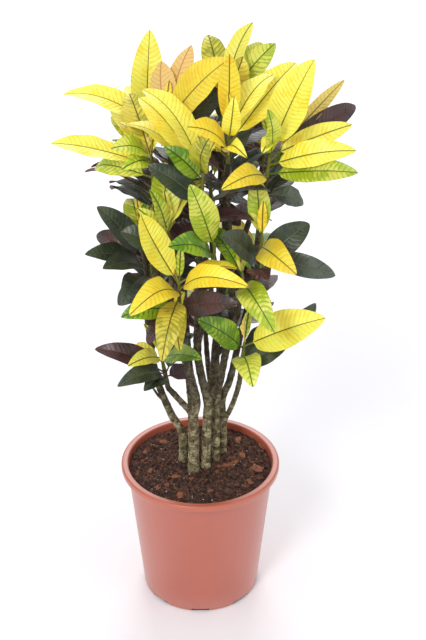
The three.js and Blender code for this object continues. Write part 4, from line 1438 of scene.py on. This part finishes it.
def soil_height(x, y):
    """The soil's surface in millimetres before its lumps, with x and y in millimetres."""
    radius = np.hypot(x, y) / (SOIL_BOX[1].x / MM)
    return lerp(SOIL_EDGE, SOIL_BOX[1].z / MM, np.interp(radius, MOUND_RADII, MOUND_RISE))


def soil_lumps(x, y, roughness):
    """How far the soil's surface stands off the plain mound, in millimetres."""
    lumps = np.empty(np.shape(x))
    for index in np.ndindex(lumps.shape):
        at = Vector((x[index], y[index], 0))
        lumps[index] = sum(share * noise.noise(at / width) for share, width in SOIL_LUMPS)
    return lumps * roughness


def make_soil(soil):
    floor = SOIL_BOX[0].z / MM
    edge = SOIL_BOX[1].x / MM
    foot = edge - (SOIL_EDGE - floor) * WALL_SLOPE
    turns = np.arange(soil.sectors) / soil.sectors * 2 * np.pi
    radii = edge * np.linspace(1, 0, soil.rings + 1)[:-1]
    radius, turn = np.meshgrid(radii, turns, indexing="ij")
    x, y = radius * np.cos(turn), radius * np.sin(turn)
    z = soil_height(x, y) + soil_lumps(x, y, soil.roughness / MM)
    top = np.stack([x, y, z], -1).reshape(-1, 3)
    skirt = np.stack([np.cos(turns) * foot, np.sin(turns) * foot, np.full(len(turns), floor)], -1)
    points = np.vstack([skirt, top, (0, 0, soil_height(0, 0)), (0, 0, floor)])
    faces = ring_faces(soil.rings + 1, soil.sectors)
    centre = len(points) - 2
    last = soil.rings * soil.sectors
    for k in range(soil.sectors):
        n = (k + 1) % soil.sectors
        faces.append((last + k, last + n, centre))
        faces.append((centre + 1, n, k))
    peat = peat_material("peat", soil.peat, soil.dark, soil.fibre)
    new_piece("soil_mound", points, faces, [peat], ["soil"], sharp_angle=180)


def ball_form(subdivisions):
    """Points and faces of a ball of radius 1."""
    bm = bmesh.new()
    bmesh.ops.create_icosphere(bm, subdivisions=subdivisions, radius=1)
    points = np.array([v.co for v in bm.verts])
    faces = [tuple(v.index for v in f.verts) for f in bm.faces]
    bm.free()
    return points, faces


LUMP_DETAIL = 1.3


def rough_lump(form, scale, rough, random):
    """A ball form pushed in and out by noise and scaled, a turn at random, and the form's faces."""
    points, faces = form
    place = Vector(random.uniform(-50, 50, 3))
    push = np.array([noise.noise(Vector(p) * LUMP_DETAIL + place) for p in points])
    lump = points * (1 + rough * push)[:, None] * scale
    turn = np.linalg.qr(random.normal(size=(3, 3)))[0]
    turn *= np.sign(np.linalg.det(turn))
    return lump, turn, faces


def on_soil(random, reach=0.95):
    """A random point on the mound, within `reach` of its edge's radius."""
    radius = math.sqrt(random.uniform(0, 1)) * reach * SOIL_BOX[1].x / MM
    turn = random.uniform(0, 2 * math.pi)
    x, y = radius * math.cos(turn), radius * math.sin(turn)
    return np.array((x, y, float(soil_height(x, y))))


def surface_at(x, y, roughness):
    """The height of the soil with its lumps at one point, all in millimetres."""
    spot = np.array([x]), np.array([y])
    return float(soil_height(*spot)[0] + soil_lumps(*spot, roughness)[0])


def tilted(random, degrees):
    """A turn about the vertical and a tilt of up to some degrees."""
    turn, lean = random.uniform(0, 2 * math.pi), math.radians(random.uniform(-degrees, degrees))
    c, s = math.cos(lean), math.sin(lean)
    return spin(turn) @ np.array(((1, 0, 0), (0, c, -s), (0, s, c)))


# How far a lump's middle lies above the soil, as a share of its half height, and how narrow the lump is, as
# a share of its width.
LUMP_LIFT = 0.35
LUMP_NARROW = (0.55, 0.95)
LUMP_TILT = 25


@dataclass
class Litter:
    """A kind of small lumps on the soil: how finely each is divided, the range of its widths in millimetres,
    its height as a share of its width, how rough it is, and the seed of its random draws. Those with `flat`
    up to 0.5 lie down, and the others point anywhere."""

    fineness: int
    widths: tuple
    flat: float
    rough: float
    seed: int


LITTER_SEEDS = {"chips": 21, "fibres": 33}
LITTER = {
    "peat_crumbs": Litter(fineness=1, widths=(0.8, 4.4), flat=0.8, rough=0.9, seed=5),
    "white_grit": Litter(fineness=1, widths=(0.6, 1.5), flat=0.8, rough=0.5, seed=8),
    "bark_shreds": Litter(fineness=2, widths=(2.2, 5.5), flat=0.3, rough=0.6, seed=13),
}


def scatter_lumps(name, count, look, soil):
    """Many small lumps, partly sunk in the soil's surface."""
    kind = LITTER[name]
    form = ball_form(kind.fineness)
    random = np.random.default_rng(kind.seed)
    builder = Builder()
    for _ in range(count):
        at = on_soil(random)
        width = random.uniform(*kind.widths)
        scale = np.array((width, width * random.uniform(*LUMP_NARROW), width * kind.flat))
        lump, turn, faces = rough_lump(form, scale, kind.rough, random)
        turn = turn if kind.flat > 0.5 else tilted(random, LUMP_TILT)
        at[2] = surface_at(at[0], at[1], soil.roughness / MM) + scale[2] * LUMP_LIFT
        builder.add(lump @ turn.T + at, faces)
    builder.piece(name, "potting_soil", [look], sharp_angle=40)


# Large bark chips: where each lies, its length and width, and its heading in degrees. Their upper and lower
# sides are cut off flat, CHIP_THICKNESS apart, and their middles lie CHIP_LIFT above the soil.
CHIP_ROUNDNESS = 2.1
CHIP_ROUGHNESS = 0.55
CHIP_THICKNESS = 2.6
CHIP_LIFT = 1.6
CHIP_TILT = 14
CHIPS = [
    (-41, -44, 17, 10, 20), (-33, -89, 19, 10, -25), (37, -9, 24, 15, 10), (56, -3, 26, 12, 15),
    (97, -18, 21, 17, 60), (66, 72, 20, 12, -35), (107, 57, 20, 10, 30), (96, 78, 15, 8, 70),
    (-85, -24, 13, 8, 100), (-64, 66, 16, 9, 140), (18, -84, 12, 8, 50), (84, -52, 13, 9, 170),
    (-70, -70, 14, 8, 30), (-96, 34, 14, 9, 75), (40, 96, 18, 10, 10), (-20, 98, 17, 11, 120),
    (-16, -52, 12, 7, 80), (72, 20, 16, 9, 130),
]


def make_chips(soil):
    random = np.random.default_rng(LITTER_SEEDS["chips"])
    form = ball_form(3)
    builder = Builder()
    for x, y, length, width, heading in CHIPS:
        scale = np.array((length / 2, width / 2, CHIP_ROUNDNESS))
        lump, _, faces = rough_lump(form, scale, CHIP_ROUGHNESS, random)
        lump[:, 2] = np.clip(lump[:, 2], -CHIP_THICKNESS / 2, CHIP_THICKNESS / 2)
        lump = lump @ spin(math.radians(heading)).T @ tilted(random, CHIP_TILT).T
        z = surface_at(x, y, soil.roughness / MM) + CHIP_LIFT
        builder.add(lump + (x, y, z), faces)
    builder.piece("bark_chips", "potting_soil", [grain_material("bark_chip", soil.chip)], sharp_angle=35)


# Fibres: the lengths of short and of long ones, how far they bend in all, how high their ends lie above the
# soil and how much higher their middle may, and how far from the middle they may reach as a share of the
# soil's radius.
FIBRE_SHORT = (7, 24)
FIBRE_LONG = (22, 40)
FIBRE_BEND = 2.2
FIBRE_LIFT = 1.3
FIBRE_ARCH = 1.6
FIBRE_REACH = 0.96


def make_fibres(soil):
    """Thin bent fibres, every ninth a long one. One that would reach past the soil is left out."""
    random = np.random.default_rng(LITTER_SEEDS["fibres"])
    thick, thin, steps = 0.36, 0.16, 9
    builder = Builder()
    for i in range(soil.fibres):
        x, y, _ = on_soil(random, 0.9)
        length = random.uniform(*(FIBRE_SHORT if i % 9 else FIBRE_LONG))
        heading = random.uniform(0, 2 * math.pi)
        bend = random.uniform(-FIBRE_BEND, FIBRE_BEND)
        path = []
        for s in range(steps):
            turn = heading + bend * s / steps
            x += math.cos(turn) * length / steps
            y += math.sin(turn) * length / steps
            arch = FIBRE_ARCH * math.sin(math.pi * s / (steps - 1)) * random.uniform(0.2, 1)
            path.append((x, y, surface_at(x, y, soil.roughness / MM) + FIBRE_LIFT + arch))
        if max(math.hypot(px, py) for px, py, _ in path) > FIBRE_REACH * SOIL_BOX[1].x / MM:
            continue
        points, faces = tube_mesh(np.array(path), np.linspace(thick, thin, steps), 4)
        builder.add(points, faces)
    straw = grain_material("root_fibre", soil.straw, 0.7)
    builder.piece("root_fibres", "potting_soil", [straw], sharp_angle=180)


# The dark peat in a drain slot, partly soil and partly painted shade for the dark inside of the slot: how far
# it reaches from the pot's middle, half its depth, and the gap on each side, below it, and above and below it
# together.
# Its corners are rounder the higher PEAT_CORNER is, up to 1 for a ball.
PEAT_REACH = 96.4
PEAT_HALF_DEPTH = 4.2
PEAT_SIDE_GAP = 0.8
PEAT_FLOOR_GAP = 0.2
PEAT_GAPS = 0.6
PEAT_CORNER = 0.3


def make_drain_peat_shade(peat):
    """The dark peat that shows in the slots round the foot, partly soil and partly painted shade for the
    slots' dark inside.
    """
    ball, faces = ball_form(3)
    height = DRAIN["height"] - PEAT_GAPS
    block = np.sign(ball) * np.abs(ball) ** PEAT_CORNER
    block = block * (PEAT_HALF_DEPTH, DRAIN["width"] / 2 - PEAT_SIDE_GAP, height / 2)
    block = block + (PEAT_REACH - PEAT_HALF_DEPTH, 0, height / 2 + PEAT_FLOOR_GAP)
    builder = Builder()
    for i in range(DRAIN["count"]):
        builder.add(block @ spin(i / DRAIN["count"] * 2 * math.pi).T, faces)
    builder.piece("drain_peat_shade", "potting_soil", [peat], sharp_angle=60)


def make_litter(soil):
    """What lies on the soil, crumbs, white grit, bark chips and fibres, and the dark peat in the drain slots,
    partly painted shade.
    """
    crumb = peat_material("crumb", soil.fibre, soil.dark, soil.peat)
    scatter_lumps("peat_crumbs", soil.crumbs, crumb, soil)
    scatter_lumps("white_grit", soil.grit, grain_material("grit", soil.grain, 0.85), soil)
    scatter_lumps("bark_shreds", soil.chips, grain_material("bark_shred", darker(soil.chip, 0.75)), soil)
    make_chips(soil)
    make_fibres(soil)
    # The drain peat takes the darkest peat colours as painted shade for the dark inside of the slots.
    make_drain_peat_shade(peat_material("drain_peat_shade", soil.dark, darker(soil.dark, 0.6), soil.peat))


# ---------------------------------------------------------------- stems

# How wide a leaf scar is along the stem, and how far the stem widens where it leaves the soil and where a
# branch leaves it: the share, and the distance over which it fades.
SCAR_WIDTH = 1.7
FOOT_FLARE = (0.16, 9)
COLLAR = (0.45, 9)

# The bark's lumps: how much each size of them counts, and about how wide they are in millimetres.
BARK_LUMPS = [(0.7, 11), (0.5, 4.5)]


def bark_bulge(bark, path, seed):
    """Gives, for a point of a stem's skin, how much it stands out: lumps, leaf scars and a flared foot."""
    random = np.random.default_rng(seed)
    flare_share, flare_fade = FOOT_FLARE
    length = np.concatenate([[0], np.cumsum(np.linalg.norm(np.diff(path, axis=0), axis=1))])
    scars = []
    at = random.uniform(4, 12)
    while at < length[-1]:
        scars.append(at)
        at += random.uniform(9, 22)
    scars = np.array(scars or [0.0])
    sides = random.uniform(0, 2 * np.pi, len(scars))

    def bulge(point, i):
        at = Vector(point)
        lump = sum(share * noise.noise(at / width) for share, width in BARK_LUMPS)
        gap = np.abs(scars - length[i])
        nearest = int(gap.argmin())
        turn = math.atan2(point[1] - path[i][1], point[0] - path[i][0])
        facing = 0.55 + 0.45 * math.cos(turn - sides[nearest])
        ring = math.exp(-((gap[nearest] / SCAR_WIDTH) ** 2)) * facing
        flare = 0
        if point[2] > SOIL_EDGE - 2:
            flare = flare_share * math.exp(-abs(point[2] - SOIL_EDGE - 8) / flare_fade)
        return bark.lumps * lump + bark.scars * ring + flare

    return bulge


def make_stem(name, branches, bark, wood, seed):
    """A trunk with its branches, each widened by a collar where it leaves the wood that bears it."""
    collar_share, collar_fade = COLLAR
    builder = Builder()
    for number, (carries, radii, points) in enumerate(branches):
        rough = branch_path(carries, points)
        path, places = smooth_steps(rough, bark.spacing / MM)
        wide = lerp(radii[0], radii[1], places)
        if number:
            collar = np.linalg.norm(path - path[0], axis=1)
            wide = wide * (1 + collar_share * np.exp(-((collar / collar_fade) ** 2)))
        skin, faces = tube_mesh(path, wide, bark.sides, bulge=bark_bulge(bark, path, seed + number))
        builder.add(skin, faces)
    builder.piece(f"{name}_wood", "bark", [wood], [name], sharp_angle=60)


# ---------------------------------------------------------------- leaves and heads

def blade_stations(rows):
    """Places along the blade from 0 to 1, closer together at both ends."""
    even = np.linspace(0, 1, rows)
    return 0.45 * even + 0.55 * (1 - np.cos(np.pi * even)) / 2


def blade_columns(columns):
    """Places across the blade from -1 to 1, closer together at the midrib."""
    even = np.linspace(-1, 1, columns)
    return np.sign(even) * np.abs(even) ** 1.35


STALK_ROWS = 6

# The stalk's radius at places from root to tip, as a share of the setting. It flattens into the blade over
# the first FLATTENS_OVER of the blade, and is UPPER_ROUND as high above its middle as it is below.
STALK_PLACES = [0, 0.04, PETIOLE, 0.3, 1]
STALK_SHARES = [1.45, 1.0, 0.85, 0.6, 0.24]
FLATTENS_OVER = 0.07
UPPER_ROUND = 0.8

# The fine ripple along the margin: how many there are, and how far it is turned by the leaf's own draw and
# from one edge to the other.
RIPPLES = 4.3
RIPPLE_DRAW = 2.7
RIPPLE_TWIST = 2.2

# A blade's length along its arch as a share of its chord, and the least half width that it keeps at its
# tip, as a share of the stalk's radius there.
ARCH_LENGTH = 1.03
TIP_SHARE = 0.5


def blade_skin(leaf, shape, u, k, share, outline):
    """The upper and the lower side of a blade, with its ripple, its thin edges and its rib."""
    middle, normal = leaf.surface(u, k)
    turns = RIPPLES * u + RIPPLE_DRAW * leaf.phase
    ripple = shape.ripple / MM * np.sin(2 * np.pi * turns + RIPPLE_TWIST * k)
    middle = middle + normal * (ripple * np.abs(k) ** 3 * outline[:, None])[..., None]
    off = k * (leaf.width / 2 * outline)[:, None]
    rib_width = (1.3 - 0.6 * share)[:, None]
    rib = shape.rib / MM * (1 - 0.7 * share)[:, None] * np.exp(-((off / rib_width) ** 2))
    thin = shape.thickness / MM / 2 * (1 - np.abs(k) ** 6)
    return middle + normal * (thin - 0.35 * rib)[..., None], middle - normal * (thin + rib)[..., None]


def stalk_skin(leaf, radii, u, k):
    """The upper and the lower side of a stalk."""
    centre, _, normal = leaf.midrib(u)
    _, _, side = leaf.frame()
    angle = k * np.pi / 2
    across = side * (radii[:, None] * np.sin(angle))[..., None]
    up = normal[:, None] * (radii[:, None] * np.cos(angle))[..., None]
    return centre[:, None] + across + up * UPPER_ROUND, centre[:, None] + across - up


def all_round(above, below):
    """Rows of values from the left edge to the right one above, and back again below."""
    return np.concatenate([above, below[:, 1:-1][:, ::-1]], axis=1)


def leaf_mesh(leaf, shape):
    """A leaf as one closed skin: a round stalk that flattens into a thin blade with a raised midrib below.
    Gives its points, its faces, which of them lie below, and what its points hold for the pattern."""
    blade = blade_stations(shape.rows)
    stalk_u = np.linspace(0, PETIOLE, STALK_ROWS, endpoint=False)
    u = np.concatenate([stalk_u, PETIOLE + blade * (1 - PETIOLE)])
    share = np.concatenate([np.zeros(STALK_ROWS), blade])
    grid_u, k = np.meshgrid(u, blade_columns(shape.columns), indexing="ij")
    chord, _, side = leaf.frame()
    outline = leaf_outline(u)
    half = leaf.width / 2 * outline
    stalk = shape.stalk / MM * np.interp(u, STALK_PLACES, STALK_SHARES)

    flat = np.clip(share / FLATTENS_OVER, 0, 1)
    flat = flat * flat * (3 - 2 * flat)
    weight = flat[:, None, None]
    widen = (np.maximum(half, stalk * TIP_SHARE) - half)[:, None] * k * flat[:, None]
    rounds = stalk_skin(leaf, stalk, u, k)
    blades = blade_skin(leaf, shape, grid_u, k, share, outline)
    skin = all_round(*(
        stalk_side * (1 - weight) + blade_side * weight + side * widen[..., None]
        for stalk_side, blade_side in zip(rounds, blades)
    ))

    rows, count = skin.shape[:2]
    quads = (rows - 1) * count
    faces = ring_faces(rows, count)
    faces.append(tuple(reversed(range(count))))
    faces.append(tuple(quads + i for i in range(count)))
    below = [1.0 if i % count >= shape.columns - 1 else 0.0 for i in range(quads)] + [1.0, 1.0]

    length = np.linalg.norm(chord) * ARCH_LENGTH
    along = np.where(u < PETIOLE, -1.0, (u - PETIOLE) * length)
    spread = np.ones((1, count))
    values = {
        "along": (along[:, None] * spread * MM).ravel(),
        "across": (all_round(k, k) * half[:, None] * MM).ravel(),
        "half_width": (half[:, None] * spread * MM).ravel(),
        "leaf_draw": leaf.phase,
    }
    return skin.reshape(-1, 3), faces, below, values


# A shoot: the points round it, the spacing of its rings in millimetres, its lumps as a share of its radius,
# and how blunt its bud is.
SHOOT_SIDES = 12
SHOOT_SPACING = 2.2
SHOOT_LUMPS = 0.16
BUD_BLUNTNESS = 14


def shoot_mesh(head, tier, seed):
    """The green shoot of a tier, a little uneven, with a rounded bud at a young one's tip."""
    half_gap = FIT_GAP / 2
    young = tier == "young"
    drops = (head.split - half_gap, 0) if young else (head.reach - FIT_GAP, head.split + half_gap)
    ends = ("split", "tip") if young else ("foot", "split")
    radii = [SHOOT_RADII[end] for end in ends]
    steps = max(8, round(abs(drops[0] - drops[1]) / SHOOT_SPACING))
    shares = np.linspace(0, 1, steps)
    path = np.array([head.at(lerp(*drops, s)) for s in shares])
    wide = lerp(*radii, shares)
    if young:
        wide = wide * np.sqrt(np.clip(1 - shares**BUD_BLUNTNESS, 0.02, 1))

    def bulge(point, _):
        return SHOOT_LUMPS * noise.noise(Vector(point) / 4 + Vector((seed, 0, 0)))

    return tube_mesh(path, wide, SHOOT_SIDES, bulge=bulge)


def make_tier(name, head, tier, leaves, shape, looks, shoots, seed):
    """The young or the mature part of a head: its shoot and its leaves."""
    builder = Builder()
    skin, faces = shoot_mesh(head, tier, seed)
    builder.add(skin, faces, material=0)
    used = sorted({leaf.look for leaf in leaves})
    for leaf in leaves:
        skin, faces, below, values = leaf_mesh(leaf, shape)
        builder.add(skin, faces, material=1 + used.index(leaf.look), under=below, **values)
    slots = [shoots[tier]] + [looks[look] for look in used]
    node = f"{tier}_{name}"
    builder.piece(f"{node}_leaves", f"{tier}_leaf", slots, [node], sharp_angle=65)


# ---------------------------------------------------------------- studio

def paper_material(base):
    """Plain matt paper."""
    made, nodes = new_material("studio_paper")
    grain = nodes.noise(nodes.place(), 220.0)
    bump = nodes.add("ShaderNodeBump", {"Height": grain, "Distance": 0.2 * MM, "Strength": 0.4})
    shader = nodes.add("ShaderNodeBsdfPrincipled", {"Normal": bump.outputs["Normal"]})
    shader.inputs["Base Color"].default_value = (*base, 1)
    shader.inputs["Roughness"].default_value = 0.8
    nodes.add("ShaderNodeOutputMaterial", {"Surface": shader.outputs["BSDF"]})
    return made


# Half the floor's width in metres, and its faces along each side.
FLOOR_REACH = 9.0
FLOOR_STEPS = 12

# Each light's place and the point that it looks at, in metres, its power in watts and its width in metres.
LIGHTS = {
    "key": ((-1.3, -2.9, 3.0), (0, 0, 0.6), 62, 1.2),
    "fill": ((2.6, -1.8, 1.6), (0, 0, 0.4), 10, 2.0),
    "back": ((0, 3.4, 3.2), (0, 1.8, 0), 70, 2.4),
}
SKY_COLOUR = (0.96, 0.97, 1.0, 1)
SKY_STRENGTH = 0.72

# The camera's place in metres, how far it is raised from looking straight down, in degrees, and its lens.
CAMERA_PLACE = (0.0217, -2.1, 1.735)
CAMERA_RISE = 60.1
FOCAL_LENGTH = 84.1
SENSOR_WIDTH = 36
CAMERA_REACH = 40


def add_floor(paper):
    mesh = bpy.data.meshes.new("studio_floor")
    bm = bmesh.new()
    bmesh.ops.create_grid(bm, x_segments=FLOOR_STEPS, y_segments=FLOOR_STEPS, size=FLOOR_REACH)
    bm.to_mesh(mesh)
    bm.free()
    mesh.materials.append(paper)
    floor = add_object("studio_floor", mesh)
    floor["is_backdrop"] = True


def add_light(name, place, aim, watts, width):
    lamp = bpy.data.lights.new(name, "AREA")
    lamp.shape = "DISK"
    lamp.size = width
    lamp.energy = watts
    light = add_object(name, lamp)
    light.location = place
    light.rotation_euler = (Vector(aim) - Vector(place)).to_track_quat("-Z", "Y").to_euler()


def add_camera():
    lens = bpy.data.cameras.new("camera")
    lens.sensor_width = SENSOR_WIDTH
    lens.lens = FOCAL_LENGTH
    lens.clip_end = CAMERA_REACH
    camera = add_object("camera", lens)
    camera.location = CAMERA_PLACE
    camera.rotation_euler = (math.radians(CAMERA_RISE), 0, 0)
    bpy.context.scene.camera = camera


def add_sky():
    world = bpy.data.worlds.new("studio")
    world.use_nodes = True
    background = world.node_tree.nodes["Background"]
    background.inputs["Color"].default_value = SKY_COLOUR
    background.inputs["Strength"].default_value = SKY_STRENGTH
    bpy.context.scene.world = world


# ---------------------------------------------------------------- operators

def plant_settings():
    return bpy.context.scene.croton


class CROTON_OT_pot(Operator):
    """Add the nursery pot with its rolled rim, moulded step and drain slots"""

    bl_idname = "croton.pot"
    bl_label = "Add Pot"

    def execute(self, context):
        make_pot(plant_settings().pot)
        return {"FINISHED"}


class CROTON_OT_soil(Operator):
    """Add the mound of potting soil"""

    bl_idname = "croton.soil"
    bl_label = "Add Soil"

    def execute(self, context):
        make_soil(plant_settings().soil)
        return {"FINISHED"}


class CROTON_OT_litter(Operator):
    """Add the crumbs, grit, bark chips and fibres that lie on the soil"""

    bl_idname = "croton.litter"
    bl_label = "Add Litter"

    def execute(self, context):
        make_litter(plant_settings().soil)
        return {"FINISHED"}


class CROTON_OT_stems(Operator):
    """Add the woody stems and their branches"""

    bl_idname = "croton.stems"
    bl_label = "Add Stems"

    def execute(self, context):
        bark = plant_settings().bark
        wood = bark_material(bark)
        for number, (name, branches) in enumerate(STEMS.items()):
            make_stem(name, branches, bark, wood, seed=100 * number)
        return {"FINISHED"}


class CROTON_OT_leaves(Operator):
    """Add every head's leaves and green shoots"""

    bl_idname = "croton.leaves"
    bl_label = "Add Leaves"

    def execute(self, context):
        settings = plant_settings()
        looks = {look.name: leaf_material(look, settings.leaf) for look in settings.looks}
        shoots = {
            "young": shoot_material("young_shoot", settings.young_shoot),
            "mature": shoot_material("old_shoot", settings.old_shoot),
        }
        grown = {}
        for leaf in grow_leaves():
            grown.setdefault(leaf.node, []).append(leaf)
        for number, (name, head) in enumerate(HEADS.items()):
            for tier in ("young", "mature"):
                leaves = grown.get(f"{tier}_{name}", [])
                make_tier(name, head, tier, leaves, settings.leaf, looks, shoots, number)
        return {"FINISHED"}


class CROTON_OT_stage(Operator):
    """Add the studio floor, the lights and the camera"""

    bl_idname = "croton.stage"
    bl_label = "Add Stage"

    def execute(self, context):
        add_floor(paper_material(plant_settings().floor))
        add_sky()
        for name, light in LIGHTS.items():
            add_light(name, *light)
        add_camera()
        context.scene.view_settings.view_transform = "Standard"
        return {"FINISHED"}


STEPS = [
    CROTON_OT_pot, CROTON_OT_soil, CROTON_OT_litter, CROTON_OT_stems, CROTON_OT_leaves, CROTON_OT_stage,
]


class CROTON_PT_plant(Panel):
    """The plant's steps and settings"""

    bl_label = "Potted Croton"
    bl_space_type = "VIEW_3D"
    bl_region_type = "UI"
    bl_category = "Croton"

    def draw(self, context):
        column = self.layout.column()
        for step in STEPS:
            column.operator(step.bl_idname)
        settings = context.scene.croton
        for label in ("young_shoot", "old_shoot", "floor"):
            column.prop(settings, label)
        for group in (settings.pot, settings.soil, settings.bark, settings.leaf, *settings.looks):
            box = self.layout.box()
            box.label(text=group.name or type(group).__doc__)
            for label in group.__annotations__:
                box.prop(group, label)


CLASSES = [
    CrotonPotSettings, CrotonSoilSettings, CrotonBarkSettings, CrotonLeafSettings, CrotonLookSettings,
    CrotonSettings, *STEPS, CROTON_PT_plant,
]


def register():
    for made in CLASSES:
        bpy.utils.register_class(made)
    bpy.types.Scene.croton = PointerProperty(type=CrotonSettings)


def unregister():
    del bpy.types.Scene.croton
    for made in reversed(CLASSES):
        bpy.utils.unregister_class(made)


def write_sizes():
    """Works out the box of the CAD model and that of the visual model as plain numbers in metres, and keeps
    them nowhere.
    """
    boxes = {"cad": CAD_BOX, "visual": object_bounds()}
    {name: [list(corner) for corner in box] for name, box in boxes.items()}


def main():
    register()
    add_looks(bpy.context.scene.croton)
    bpy.ops.croton.pot()
    bpy.ops.croton.soil()
    bpy.ops.croton.litter()
    bpy.ops.croton.stems()
    bpy.ops.croton.leaves()
    bpy.ops.croton.stage()
    write_sizes()


if __name__ == "__main__":
    main()
